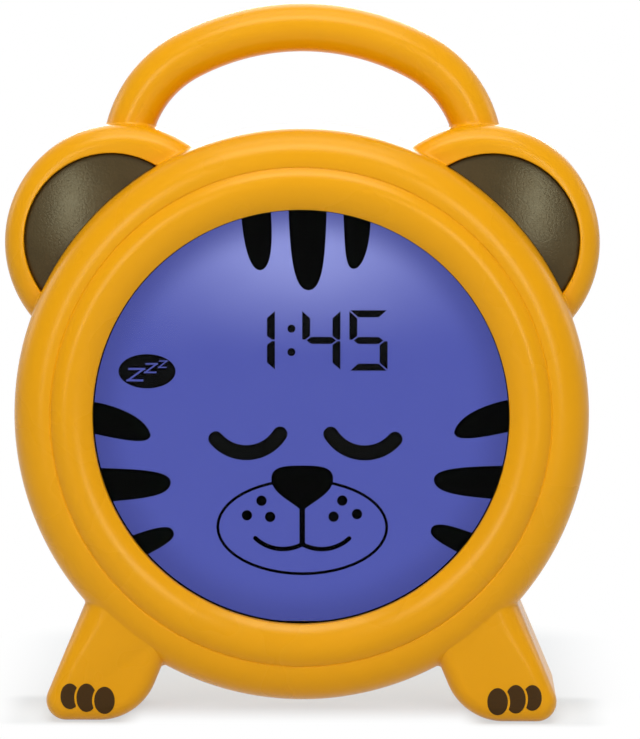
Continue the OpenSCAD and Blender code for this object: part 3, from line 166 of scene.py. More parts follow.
class ClockSizes(bpy.types.PropertyGroup):
    """Sizes of the shells and of the trim that the finished pieces follow."""

    body_r: length("Body radius", 76.2, "Outer radius of the round body")
    case_d: length("Case depth", 49, "Depth from the bezel's crest to the flat back")
    wall: length("Wall", 2.2, "Thickness of both shells")
    side_roll: length("Side roll", 8.6, "Radius that rolls the side into the front ring")
    back_roll: length("Back roll", 20, "Radius that rolls the side into the flat back")
    ring_w: length("Ring width", 10.2, "Width of the outer ring, up to the groove")
    bezel_out_w: length("Outer bezel width", 4.4, "Width of the bezel from the groove to its crest")
    bezel_in_w: length("Inner bezel width", 6.6, "Width of the bezel from its crest to the window")
    bezel_in_roll: length("Inner bezel roll", 10, "Radius of the slope towards the window")
    bezel_out_roll: length("Outer bezel roll", 6.3, "Radius of the slope towards the groove")
    groove_w: length("Groove width", 0.22, "Width of the narrow groove between ring and bezel")
    groove_d: length("Groove depth", 0.2, "Depth of that groove below the ring")
    groove_round: length("Groove rounding", 0.45, "Radius of the ring's shoulder at the groove")
    lip_round: length("Lip rounding", 0.45, "Radius of the edge round the window")
    seam: length("Seam chamfer", 0.16, "Chamfer along the parting line of the shells")
    ear_in: length("Ear inset", 10.6, "Distance of each ear's centre inside the body's edge")
    ear_angle: degrees("Ear angle", 43.5, "Angle of the ears above the level middle line")
    ear_r: length("Ear radius", 31.5, "Outer radius of an ear")
    ear_front_d: length("Ear setback", 13, "Depth of the ear's rim behind the bezel's crest")
    ear_back_d: length("Ear back", 11, "How far the ear reaches behind the parting plane")
    ear_roll: length("Ear roll", 5.5, "Radius that rolls the ear's rim over at the front")
    ear_back_roll: length("Ear back roll", 7, "Radius that rolls the ear over at the back")
    dish_r: length("Ear dish radius", 23.2, "Radius of the recess for the ear's inlay")
    dish_out: length("Ear dish outwards", 2.9, "How far the recess lies outside the ear's middle")
    dish_up: length("Ear dish upwards", 0.9, "How far the recess lies above the ear's middle")
    dish_d: length("Ear dish depth", 3, "Depth of the recess for the ear's inlay")
    handle_lift: length("Handle height", 25.9, "Height of the handle's centre line above the body")
    handle_top_r: length("Handle top bend", 65.4, "Radius of the handle's flat top bend")
    handle_top_angle: degrees("Handle top angle", 28.15, "Half the angle of the top bend")
    handle_side_r: length("Handle side bend", 30.7, "Radius of the handle's side bends")
    handle_tube_r: length("Handle tube", 6.4, "Radius of the handle's tube")
    handle_end_angle: degrees("Handle end angle", 112, "Angle at which the tube ends inside the ear")
    foot_x: length("Foot distance", 57.1, "Distance of the foot's middle from the middle plane")
    leg_w: length("Leg width", 25.3, "Width of a leg across its own axis")
    leg_d: length("Leg depth", 43, "Depth of a leg from front to back")
    leg_lean: degrees("Leg lean", 22.6, "Lean of the legs from upright")
    leg_edge_r: length("Leg edge", 6.6, "Radius along the leg's long edges")
    foot_edge_r: length("Foot edge", 4.4, "Radius along the edge of the sole")
    foot_out_r: length("Outer foot corner", 5.3, "Radius of the foot's outer corner")
    foot_in_r: length("Inner foot corner", 16, "Radius of the foot's inner corner")
    fit_gap: length("Fit gap", 0.15, "Clearance between pieces that are laid into each other")
    run_gap: length("Running gap", 0.3, "Clearance round the pieces that move")
    ear_fillet: length("Ear fillet", 0.9, "Radius of the fillet where an ear meets the ring")
    leg_fillet: length("Leg fillet", 1.3, "Radius of the fillet where a leg meets the ring")
    handle_fillet: length("Handle fillet", 0.8, "Radius of the fillet at the handle's feet")


class ClockColours(bpy.types.PropertyGroup):
    """Colours of the finishes."""

    shell: colour("Shell", 226, 155, 4, "Moulded casing and battery door")
    leather: colour("Ear leather", 56, 42, 19, "Inlays of the ears")
    toes: colour("Toes", 62, 40, 9, "Inlays of the toes")
    ink: colour("Ink", 9, 9, 10, "Printed stripes, nose and mouth")
    segments: colour("Segments", 15, 15, 16, "Dark segments of the display")
    glow_deep: colour("Deep glow", 79, 87, 168, "Display light away from the lamps")
    # display colour at the top of the window, paled by a painted reflection of the top lamps in the lens
    reflection_top: colour("High glow", 140, 147, 212, "Display light at the top of the window")
    glow_edge: colour("Edge glow", 66, 72, 143, "Display light along the window's edge")
    button: colour("Buttons", 90, 69, 36, "Push buttons and the slider")
    board: colour("Circuit board", 28, 84, 44, "Main board")
    steel: colour("Steel", 176, 176, 178, "Screws and springs")


class ClockStage(bpy.types.PropertyGroup):
    """Camera of the stage and its light from all round."""

    distance: length("Camera distance", 1300, "From the camera to the point it looks at")
    azimuth: degrees("Camera azimuth", 1.2, "How far the camera stands to the right of straight ahead")
    elevation: degrees("Camera elevation", 6.35, "Height of the camera above the level")
    aim_y: length("Aim depth", 19, "How far in front of the parting plane the camera aims")
    aim_z: length("Aim height", 82, "Height of the point the camera looks at")
    lens: bpy.props.FloatProperty(
        name="Lens", description="Focal length of the camera in millimetres", default=239.6, min=1.0,
    )
    shift: bpy.props.FloatVectorProperty(
        name="Shift", description="Shift of the picture, in widths of the sensor",
        default=(0.0256, 0.0640), size=2,
    )
    daylight: bpy.props.FloatProperty(
        name="Daylight", description="Strength of the light from all round", default=0.08, min=0.0,
    )


def measures():
    """The sizes that the panel holds, and the places that follow from them."""
    s = bpy.context.scene.clock_sizes
    return s, Layout(s)


def middle_of(node):
    """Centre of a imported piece's box."""
    low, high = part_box(node)
    return (low + high) / 2


class Layout:
    """Planes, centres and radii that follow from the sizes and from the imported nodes."""

    def __init__(self, s):
        # planes of the round body
        lens_low, lens_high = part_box("window_lens")
        self.door_low, self.door_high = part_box("battery_door")
        self.body_z = (lens_low.z + lens_high.z) / 2
        self.lens_r = (lens_high.x - lens_low.x) / 2
        self.lens_back = lens_high.y
        self.back = self.door_high.y
        self.back_in = self.back - s.wall
        self.front = self.back - s.case_d
        self.seat = self.front + SEAT_D
        self.tray_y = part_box("reflector_tray")[0].y

        # radii of ring, bezel and window, and centres (r, y) of the arcs of the body's profile. The
        # ring's arc and the outer bezel's arc meet at one depth in the groove
        self.groove_r = s.body_r - s.ring_w
        self.crest_r = self.groove_r - s.bezel_out_w
        self.window_r = self.crest_r - s.bezel_in_w
        self.bezel_in_c = np.array([self.crest_r, self.front + s.bezel_in_roll])
        self.bezel_out_c = np.array([self.crest_r, self.front + s.bezel_out_roll])
        groove_y = self.bezel_out_c[1] - np.sqrt(s.bezel_out_roll**2 - (self.groove_r - self.crest_r) ** 2)
        inset = s.body_r - s.side_roll - self.groove_r
        self.side_c = np.array([s.body_r - s.side_roll, groove_y + np.sqrt(s.side_roll**2 - inset**2)])
        self.back_c = np.array([s.body_r - s.back_roll, self.back - s.back_roll])

        # right ear
        reach = s.body_r - s.ear_in
        self.ear_x = reach * np.cos(s.ear_angle)
        self.ear_z = self.body_z + reach * np.sin(s.ear_angle)
        self.ear_front = self.front + s.ear_front_d
        self.dish = self.ear_front + s.dish_d
        self.dish_x, self.dish_z = self.ear_x + s.dish_out, self.ear_z + s.dish_up
        self.ear_front_c = np.array([s.ear_r - s.ear_roll, self.ear_front + s.ear_roll])
        self.ear_back_c = np.array([s.ear_r - s.ear_back_roll, s.ear_back_d - s.ear_back_roll])

        # handle's top bend and right leg
        self.handle_c = np.array([0.0, self.body_z + s.body_r + s.handle_lift - s.handle_top_r])
        self.leg_front = -s.leg_d / 2
        self.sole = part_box("left_foot_pad")[0].z + PAD_PROUD
        self.leg_across = np.array([np.cos(s.leg_lean), np.sin(s.leg_lean)])
        self.leg_axis = np.array([-np.sin(s.leg_lean), np.cos(s.leg_lean)])

        # battery bay, its door, and the speaker
        self.door_x = self.door_high.x - PIN_L
        self.plate_low = self.door_low.z + DOOR_TAB_H
        self.pivot_y, self.pivot_z = self.back - KNUCKLE_R, self.door_high.z - KNUCKLE_R
        self.door_screw_z = middle_of("door_screw").z
        cells_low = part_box("batteries")[0]
        self.bay_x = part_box("contact_plates")[1].x
        self.bay_floor = cells_low.y - s.run_gap
        self.bay_low, self.bay_high = cells_low.z - BAY_ROOM, self.door_high.z + s.run_gap
        self.speaker_z = middle_of("speaker").z
        self.speaker_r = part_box("speaker")[1].x + s.fit_gap


# ---- Curves and grids ----


def arc(centre, radius, start, stop, count):
    """Points of an arc: centre + radius (cos a, sin a), for angles a from start to stop in degrees."""
    a = np.radians(np.linspace(start, stop, count))
    return np.stack([centre[0] + radius * np.cos(a), centre[1] + radius * np.sin(a)], axis=1)


def straight(start, stop, count):
    """Points of a straight line, both ends counted: start + t (stop - start), for t from 0 to 1."""
    t = np.linspace(0, 1, count)[:, None]
    return np.asarray(start) + t * (np.asarray(stop) - np.asarray(start))


def bearing(start, stop):
    """Direction from start to stop, in degrees."""
    return np.degrees(np.arctan2(stop[1] - start[1], stop[0] - start[0]))


def grid_faces(rows, columns):
    """Four-sided faces between neighbouring points of a grid whose columns close on themselves: point
    (i, j) has the number i columns + j."""
    low = np.arange(rows - 1)[:, None] * columns
    j = np.arange(columns)[None, :]
    right = (j + 1) % columns
    corners = [low + j, low + right, low + columns + right, low + columns + j]
    return np.stack(corners, axis=-1).reshape(-1, 4)


def skin(grid):
    """Closed solid over rings of points: neighbouring rings are joined, and the two end rings get a
    flat cap each."""
    rows, columns = grid.shape[:2]
    first = list(range(columns))
    caps = [first[::-1], [(rows - 1) * columns + k for k in first]]
    return grid.reshape(-1, 3), grid_faces(rows, columns).tolist() + caps


def turned(profile, centre, count):
    """Solid turned about the front-to-back line through centre (x, z): a profile point (r, y) becomes
    the ring x + r cos a, y, z + r sin a."""
    a = np.arange(count) * 2 * np.pi / count
    radius, depth = profile[:, :1], profile[:, 1:]
    grid = [centre[0] + radius * np.cos(a), depth + 0 * a, centre[1] + radius * np.sin(a)]
    return skin(np.stack(grid, axis=-1))


def bar(x, z, radius, y0, y1, count=32):
    """Round bar from depth y0 to depth y1."""
    return turned(np.array([[radius, y0], [radius, y1]]), (x, z), count)


def slab_outline(centre, width, height, corner):
    """Rectangle with round corners: four arcs of radius corner round its corner centres."""
    points = []
    for k, (sx, sz) in enumerate([(1, 1), (-1, 1), (-1, -1), (1, -1)]):
        middle = (centre[0] + sx * (width / 2 - corner), centre[1] + sz * (height / 2 - corner))
        points.append(arc(middle, corner, 90 * k, 90 * k + 90, 8))
    return np.concatenate(points)


def slab(low, high, corner, levels):
    """Plate with round corners between the (x, z) points low and high: for each level (y, grow) a ring
    of the outline, grown by grow on every side."""
    rings = []
    for y, grow in levels:
        width, height = high[0] - low[0] + 2 * grow, high[1] - low[1] + 2 * grow
        centre = ((low[0] + high[0]) / 2, (low[1] + high[1]) / 2)
        outline = slab_outline(centre, width, height, corner + grow)
        rings.append(np.stack([outline[:, 0], np.full(len(outline), y), outline[:, 1]], axis=1))
    return skin(np.array(rings))


def block(low, high):
    """Plain box between two corners."""
    return slab((low[0], low[2]), (high[0], high[2]), SHARP, [(low[1], 0), (high[1], 0)])


def crosswise(y, z, radius, x0, x1, edge=0.0, count=48):
    """Round bar along x, with both ends rounded by edge."""
    profile = np.array([[radius, x0], [radius, x1]])
    if edge:
        profile = np.concatenate([
            arc((radius - edge, x0 + edge), edge, -90, 0, 5),
            arc((radius - edge, x1 - edge), edge, 0, 90, 5),
        ])
    a = np.arange(count) * 2 * np.pi / count
    radii, places = profile[:, :1], profile[:, 1:]
    return skin(np.stack([places + 0 * a, y + radii * np.cos(a), z + radii * np.sin(a)], axis=-1))


def mirrored(solid):
    """The same solid on the other side of the middle plane: x changes sign."""
    points, faces = solid
    return points * [-1, 1, 1], [face[::-1] for face in faces]


def both(solid):
    """The solid and its mirror image."""
    return [solid, mirrored(solid)]


# ---- From solids to objects ----


def put_together(solids):
    """Several solids side by side: one list of points and faces."""
    points, faces, start = [], [], 0
    for p, f in solids:
        points.append(p)
        faces += [[start + k for k in face] for face in f]
        start += len(p)
    return np.concatenate(points), faces


def tool(*solids):
    """A mesh object of closed solids that don't touch each other, each with its faces outwards."""
    points, faces = put_together(solids)
    mesh = bpy.data.meshes.new("tool")
    mesh.from_pydata(points.tolist(), [], faces)
    edit = bmesh.new()
    edit.from_mesh(mesh)
    bmesh.ops.recalc_face_normals(edit, faces=edit.faces)
    edit.to_mesh(mesh)
    edit.free()
    thing = bpy.data.objects.new("tool", mesh)
    bpy.context.scene.collection.objects.link(thing)
    return thing


def discard(thing):
    """Removes an object with its mesh."""
    mesh = thing.data
    bpy.data.objects.remove(thing)
    bpy.data.meshes.remove(mesh)


def carve(target, steps):
    """Works through steps of (operation, tool object): UNION, DIFFERENCE or INTERSECT with the target."""
    for operation, thing in steps:
        step = target.modifiers.new("step", "BOOLEAN")
        step.operation = operation
        step.solver = "MANIFOLD"
        step.object = thing
    whole = bpy.context.evaluated_depsgraph_get()
    mesh = bpy.data.meshes.new_from_object(target.evaluated_get(whole))
    target.modifiers.clear()
    old = target.data
    target.data = mesh
    bpy.data.meshes.remove(old)
    for _, thing in steps:
        discard(thing)
    if not mesh.polygons:
        raise RuntimeError("a carved piece came out empty")
    return target


def unite(*things):
    """The first object with the others joined on."""
    return carve(things[0], [("UNION", thing) for thing in things[1:]])


def cut(target, *things):
    """The target less the other objects."""
    return carve(target, [("DIFFERENCE", thing) for thing in things])


def within(target, thing):
    """What the target and the other object share."""
    return carve(target, [("INTERSECT", thing)])


def settle(thing, name, body, slot, node):
    """Names a finished piece, smooths it up to the crease angle, gives it the finish of its slot and
    its body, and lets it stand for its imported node."""
    thing.name = thing.data.name = name
    thing.data.shade_smooth()
    thing.data.set_sharp_from_angle(angle=CREASE)
    thing.data.materials.clear()
    thing.data.materials.append(finish_for(slot))
    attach(thing, body)
    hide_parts(node)


# ---- Distances, for the fillets ----


def turned_distance(points, centre, radius, front_c, front_roll, back_c, back_roll):
    """Distance from a turned form with a straight side and rolled edges: beyond the centre of a roll it
    is the distance from that centre less the roll, and beside the side it is rho less the radius."""
    rho = np.hypot(points[:, 0] - centre[0], points[:, 2] - centre[1])
    y = points[:, 1]
    ahead = np.hypot(np.maximum(rho - front_c[0], 0), np.minimum(y - front_c[1], 0)) - front_roll
    behind = np.hypot(np.maximum(rho - back_c[0], 0), np.maximum(y - back_c[1], 0)) - back_roll
    return np.where(y < front_c[1], ahead, np.where(y > back_c[1], behind, rho - radius))


def body_distance(s, l):
    """Distance from the round body."""
    return lambda p: turned_distance(
        p, (0, l.body_z), s.body_r, l.side_c, s.side_roll, l.back_c, s.back_roll
    )


def ear_distance(s, l):
    """Distance from the right ear."""
    return lambda p: turned_distance(
        p, (l.ear_x, l.ear_z), s.ear_r, l.ear_front_c, s.ear_roll, l.ear_back_c, s.ear_back_roll
    )


def leg_distance(s, l):
    """Distance from a slanting bar with a rounded rectangle as its section, across by depth."""
    half = np.array([s.leg_w / 2, s.leg_d / 2]) - s.leg_edge_r

    def distance(p):
        side = (p[:, 0] - s.foot_x) * l.leg_across[0] + p[:, 2] * l.leg_across[1]
        q = np.abs(np.stack([side, p[:, 1]], axis=1)) - half
        return np.hypot(*np.maximum(q, 0).T) + np.minimum(q.max(axis=1), 0) - s.leg_edge_r

    return distance


def tube_distance(s, l):
    """Distance from the right side bend of the handle's tube."""
    centre = side_bend_centre(s, l)

    def distance(p):
        ring = np.hypot(p[:, 0] - centre[0], p[:, 2] - centre[1]) - s.handle_side_r
        return np.hypot(ring, p[:, 1]) - s.handle_tube_r

    return distance


def slope(distance, p, step=1e-6):
    """Direction in which the distance grows fastest, from differences over a small step."""
    parts = [distance(p + step * axis) - distance(p - step * axis) for axis in np.eye(3)]
    direction = np.stack(parts, axis=1)
    return direction / np.linalg.norm(direction, axis=1, keepdims=True)


def touch_both(one, other, p, radius):
    """Moves p until a ball of that radius round it touches both forms: Newton steps of least length."""
    for _ in range(5):
        a, b = slope(one, p), slope(other, p)
        miss = np.stack([one(p) - radius, other(p) - radius], axis=1)
        turn = np.sum(a * b, axis=1, keepdims=True)
        share = (miss - turn * miss[:, ::-1]) / (1 - turn**2)
        p = p - share[:, :1] * a - share[:, 1:] * b
    return p


def ball_track(one, other, start, radius, ahead, stop, step=0.9 * MM, most=400):
    """Line of the centres of a ball that rolls along both forms, from start until stop(point) is true.
    The ball sets off towards ahead, along the cross product of the two slopes."""
    track = [touch_both(one, other, np.array([start]), radius)]
    direction = np.array([ahead], float)
    while len(track) < most:
        along = np.cross(slope(one, track[-1]), slope(other, track[-1]))
        along /= np.linalg.norm(along)
        direction = along * np.sign(np.sum(along * direction))
        track.append(touch_both(one, other, track[-1] + step * direction, radius))
        if stop(track[-1][0]):
            return np.concatenate(track)
    raise RuntimeError("a fillet's track never ended")


def fillet(one, other, track, radius, sink=0.03 * MM, root=0.5 * MM, count=9):
    """Solid that fills the corner between two forms: at each point of the track a hollow arc from one
    form to the other, whose ends lie a little under the surfaces, and a root point inside both."""
    a, b = slope(one, track), slope(other, track)
    angle = np.arccos(np.clip(np.sum(a * b, axis=1), -1, 1))[:, None]
    t = np.linspace(0, 1, count)
    turn_a, turn_b = np.sin((1 - t) * angle), np.sin(t * angle)
    spokes = (turn_a[..., None] * a[:, None] + turn_b[..., None] * b[:, None]) / np.sin(angle)[..., None]
    reach = radius + sink * np.abs(2 * t - 1) ** 3
    arcs = track[:, None] - spokes * reach[None, :, None]
    middle = (a + b) / np.linalg.norm(a + b, axis=1, keepdims=True)
    roots = track - middle * (radius / np.cos(angle / 2) + root)
    return skin(np.concatenate([arcs, roots[:, None]], axis=1))


# ---- Forms of the shells ----


def shoulder(centre, radius, edge, side, rounding):
    """Where an arc of the front profile ends at a groove wall: the small rounding between the arc and
    the wall at radius edge. Its centre keeps the rounding from both. Side 1 is the ring, -1 the bezel.
    Returns that centre and the angle at which the rounding leaves the arc."""
    across = edge + side * rounding
    middle = np.array([across, centre[1] - np.sqrt((radius - rounding) ** 2 - (across - centre[0]) ** 2)])
    return middle, bearing(centre, middle)


def groove_and_bezel(s, l):
    """Front profile from the side to the window: ring arc, narrow groove with rounded shoulders, two
    bezel arcs and the rounded lip, as points (r, y)."""
    outer, inner = l.groove_r + s.groove_w / 2, l.groove_r - s.groove_w / 2
    small = s.groove_round / 2
    ring_edge, to_ring = shoulder(l.side_c, s.side_roll, outer, 1, s.groove_round)
    bezel_edge, to_bezel = shoulder(l.bezel_out_c, s.bezel_out_roll, inner, -1, small)
    floor = ring_edge[1] - s.groove_round + s.groove_d
    ring_dip = np.degrees(np.arcsin(np.clip((floor - ring_edge[1]) / s.groove_round, -1, 0)))
    bezel_dip = np.degrees(np.arcsin(np.clip((floor - bezel_edge[1]) / small, -1, 0)))
    lip = np.array([l.window_r + s.lip_round, 0.0])
    inside = s.bezel_in_roll - s.lip_round
    lip[1] = l.bezel_in_c[1] - np.sqrt(inside**2 - (l.bezel_in_c[0] - lip[0]) ** 2)
    to_lip = bearing(l.bezel_in_c, lip)
    return np.concatenate([
        arc(l.side_c, s.side_roll, 0, to_ring, 36),
        arc(ring_edge, s.groove_round, to_ring, -180 - ring_dip, 8)[1:],
        arc(bezel_edge, small, bezel_dip, to_bezel, 6),
        arc(l.bezel_out_c, s.bezel_out_roll, to_bezel, -90, 16)[1:],
        arc(l.bezel_in_c, s.bezel_in_roll, -90, to_lip, 20)[1:],
        arc(lip, s.lip_round, to_lip, -180, 8)[1:],
        [[l.window_r, l.seat + LAP]],
    ])


def body_form(s, l, side):
    """Half of the round body, in front of the parting plane (side -1) or behind it (side 1)."""
    plane = side * SEAM_GAP
    seam = [[s.body_r - s.seam, plane], [s.body_r, plane + side * s.seam]]
    if side < 0:
        rest = [groove_and_bezel(s, l)]
    else:
        rest = [arc(l.back_c, s.back_roll, 0, 90, 30), [[l.back_c[0] - CAP_RIM, l.back]]]
    return turned(np.concatenate([seam, *rest]), (0, l.body_z), 288)


def ear_form(s, l, side):
    """Half of the right ear."""
    plane = side * SEAM_GAP
    seam = [[s.ear_r - s.seam, plane], [s.ear_r, plane + side * s.seam]]
    if side < 0:
        centre, roll, end = l.ear_front_c, s.ear_roll, l.ear_front
    else:
        centre, roll, end = l.ear_back_c, s.ear_back_roll, s.ear_back_d
    rest = [arc(centre, roll, 0, side * 90, 20), [[centre[0] - CAP_RIM, end]]]
    return turned(np.concatenate([seam, *rest]), (l.ear_x, l.ear_z), 168)


def dish_form(s, l):
    """What the recess of the right ear takes away; its mouth widens so that the ear's edge is round."""
    rim = 0.35 * MM
    profile = np.concatenate([
        [[s.dish_r, l.dish]],
        arc((s.dish_r + rim, l.ear_front + rim), rim, 180, 270, 7),
        [[s.dish_r + rim, l.front - PAST]],
    ])
    return turned(profile, (l.dish_x, l.dish_z), 168)


def side_bend_centre(s, l):
    """Centre of the right side bend, on the line through the end of the top bend."""
    turn = np.array([np.sin(s.handle_top_angle), np.cos(s.handle_top_angle)])
    return l.handle_c + (s.handle_top_r - s.handle_side_r) * turn


def handle_path(s, l):
    """Centre points and outward directions of the handle, from its left end over the top to its right
    end: three arcs that share their tangents. Angles count from upright, to the right."""
    top = np.linspace(-s.handle_top_angle, s.handle_top_angle, 40)
    side = np.linspace(s.handle_top_angle, s.handle_end_angle, 40)[1:]
    angle = np.concatenate([-side[::-1], top, side])
    out = np.stack([np.sin(angle), np.cos(angle)], axis=1)
    right = side_bend_centre(s, l)
    centre = np.where(angle[:, None] > s.handle_top_angle, right, l.handle_c)
    centre = np.where(angle[:, None] < -s.handle_top_angle, right * [-1, 1], centre)
    bend = np.where(np.abs(angle) > s.handle_top_angle, s.handle_side_r, s.handle_top_r)
    return centre + bend[:, None] * out, out


def half_tube(s, l, side):
    """Half of the handle's tube: its half-round section is carried along the path."""
    path, out = handle_path(s, l)
    start = np.degrees(np.arcsin((SEAM_GAP + s.seam) / s.handle_tube_r))
    section = arc((0, 0), s.handle_tube_r, start, 180 - start, 27)
    flat = s.handle_tube_r - s.seam
    section = np.concatenate([[[flat, SEAM_GAP]], section, [[-flat, SEAM_GAP]]])
    across, depth = section[:, 0], side * section[:, 1]
    grid = np.stack([
        path[:, :1] + out[:, :1] * across,
        np.tile(depth, (len(path), 1)),
        path[:, 1:] + out[:, 1:] * across,
    ], axis=-1)
    return skin(grid)


def foot_corner(s, l, side, radius, inset=0.0):
    """Centre of the foot's outer (1) or inner (-1) corner of that radius."""
    half = s.leg_w / 2 / np.cos(s.leg_lean)
    z = l.sole + inset + radius
    x = s.foot_x + side * (half - (inset + radius) / np.cos(s.leg_lean)) - z * np.tan(s.leg_lean)
    return np.array([x, z])


def leg_outline(s, l, inset=0.0):
    """Outline of the right leg from its upper outer end round the foot to its upper inner end: points,
    outward directions and the radius of the front edge there."""
    lean = np.degrees(s.leg_lean)
    r_out, r_in = s.foot_out_r - inset, s.foot_in_r - inset
    half = s.leg_w / 2 - inset
    outer = arc(foot_corner(s, l, 1, r_out, inset), r_out, lean, -90, 16)
    inner = arc(foot_corner(s, l, -1, r_in, inset), r_in, -90, lean - 180, 26)
    root = np.array([s.foot_x, 0.0]) + l.leg_axis * LEG_LENGTH
    outer_side = straight(root + l.leg_across * half, outer[0], 34)[:-1]
    inner_side = straight(inner[-1], root - l.leg_across * half, 30)[1:]
    sole = straight(outer[-1], inner[0], 8)[1:-1]
    points = np.concatenate([outer_side, outer, sole, inner, inner_side])
    ways = np.concatenate([
        np.tile(l.leg_across, (len(outer_side), 1)),
        arc((0, 0), 1, lean, -90, 16),
        np.tile([0.0, -1.0], (len(sole), 1)),
        arc((0, 0), 1, -90, lean - 180, 26),
        np.tile(-l.leg_across, (len(inner_side), 1)),
    ])
    return points, ways, leg_edge(s, points[:, 1])


def leg_edge(s, z):
    """Radius of the leg's front edge at height z: the sole's edge below, the long edge further up, and
    in between a share t t (3 - 2 t) of the way, for t from 0 to 1."""
    start, rise = 14 * MM, 16 * MM
    t = np.clip((z - start) / rise, 0, 1)
    return s.foot_edge_r + (s.leg_edge_r - s.foot_edge_r) * t * t * (3 - 2 * t)


def leg_form(s, l, side, inset=0.0):
    """Half of the right leg: rings of its outline, drawn in along a quarter circle towards the front
    (side -1) or the back (side 1)."""
    points, ways, edge = leg_outline(s, l, inset)
    edge = (edge - inset)[:, None]
    depth = s.leg_d / 2 - inset
    none = 0 * edge
    if inset:
        rings = [(none, none - PAST)]
    else:
        rings = [(none + s.seam, none + SEAM_GAP), (none, none + SEAM_GAP + s.seam)]
        rings += [(none, SEAM_GAP + s.seam + t * (depth - edge)) for t in (0.25, 0.5, 0.75)]
    for turn in np.radians(np.linspace(0, 90, 12)):
        rings.append((edge * (1 - np.cos(turn)), depth - edge * (1 - np.sin(turn))))
    grid = []
    for drawn_in, y in rings:
        flat = points - ways * drawn_in
        grid.append(np.stack([flat[:, 0], side * y[:, 0], flat[:, 1]], axis=1))
    return skin(np.array(grid))


def fillets(s, l, side):
    """Fillets of one half: ears, legs and handle against what they grow out of. A start point (x, z)
    only has to lie near its corner, because the ball is then pressed against both forms."""
    body, ear = body_distance(s, l), ear_distance(s, l)
    leg, tube = leg_distance(s, l), tube_distance(s, l)
    plane = side * SEAM_GAP
    away = MM  # distance of the start points from the surfaces
    spread = np.radians(26)  # angle from the ear's middle to where its outline leaves the ring
    leg_up, handle_rise = 24 * MM, 0.08
    solids = []

    def back_home(p):
        return side * p[1] < SEAM_GAP

    def in_dish(p):
        return np.hypot(p[0] - l.dish_x, p[2] - l.dish_z) < s.dish_r - away

    def add(one, other, start, radius, stop):
        track = ball_track(one, other, (start[0], plane, start[1]), radius, (0, side, 0), stop)
        if stop is back_home:
            track[-1, 1] = plane
        solids.append(fillet(one, other, track, radius))

    for turn in (spread, -spread) if side < 0 else (spread,):
        angle = s.ear_angle + turn
        start = np.array([0, l.body_z]) + (s.body_r + away) * np.array([np.cos(angle), np.sin(angle)])
        add(body, ear, start, s.ear_fillet, in_dish if side < 0 else back_home)
    foot = np.array([s.foot_x, 0.0]) + l.leg_axis * leg_up + l.leg_across * (s.leg_w / 2 + 3 * away)
    add(body, leg, foot, s.leg_fillet, back_home)
    reach = s.handle_side_r + s.handle_tube_r + away
    add(ear, tube, side_bend_centre(s, l) + reach * np.array([1.0, handle_rise]), s.handle_fillet, back_home)
    return solids


def half_form(s, l, side):
    """Outer form of one shell, still solid: body, ears, legs, handle and their fillets."""
    ears = tool(*both(ear_form(s, l, side)))
    beads = [tool(*both(solid)) for solid in fillets(s, l, side)]
    if side < 0:
        ears, *beads = [cut(thing, tool(*both(dish_form(s, l)))) for thing in (ears, *beads)]
    tube = tool(half_tube(s, l, side))
    return unite(tool(body_form(s, l, side)), ears, tool(*both(leg_form(s, l, side))), tube, *beads)


def ear_hollow(s, l, side):
    """Inside of the ears, outside the round body."""
    near = -side * PAST
    end = l.dish + s.wall if side < 0 else s.ear_back_d - s.wall
    bend = l.ear_front_c[1] if side < 0 else l.ear_back_c[1]
    profile = np.array([
        [s.ear_r - s.wall, near], [s.ear_r - s.wall, bend], [s.dish_r - s.wall, end],
    ])
    hollow = tool(*both(turned(profile, (l.ear_x, l.ear_z), 96)))
    return cut(hollow, tool(bar(0, l.body_z, s.body_r, l.front, l.back, 144)))


def leg_hollow(s, l, side):
    """Inside of the legs, outside the round body."""
    return cut(tool(*both(leg_form(s, l, side, s.wall))), tool(body_form(s, l, side)))


def screw_places(s, l):
    """Case screws on the right half: (x, z, depth of the head's seat), at ear, side and leg."""
    inset, leg_z = 10.6 * MM, 21 * MM
    ear_seat, seat = 5 * MM, 8 * MM
    reach = s.body_r - s.ear_in + s.ear_r - inset
    return [
        (reach * np.cos(s.ear_angle), l.body_z + reach * np.sin(s.ear_angle), ear_seat),
        (s.body_r - inset, l.body_z, seat),
        (s.foot_x - leg_z * np.tan(s.leg_lean), leg_z, seat),
    ]


def pad_recess(s):
    """Room of the right foot pad under the foot."""
    low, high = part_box("right_foot_pad")
    gap = s.fit_gap
    return block((low.x - gap, low.y - gap, low.z - PAST), (high.x + gap, high.y + gap, high.z + gap))


def front_inside(s, l, pocket_r, pocket_end):
    """Inside of the front shell, turned: the pocket of lens and display, the wall round it, and the
    room between that wall and the rolled side."""
    rib_r = pocket_r + POCKET_RIB
    ceiling = l.front + s.wall + LAP
    bend = 1.2 * MM  # width of the slant between the flat ceiling and the rolled side
    flat_end = l.side_c[0] - s.wall - bend
    return turned(np.concatenate([
        [[pocket_r, l.seat], [pocket_r, pocket_end], [rib_r, pocket_end]],
        [[rib_r, ceiling], [flat_end, ceiling]],
        arc(l.side_c, s.side_roll - s.wall, -90, 0, 12),
        [[s.body_r - s.wall, PAST]],
    ]), (0, l.body_z), 192)


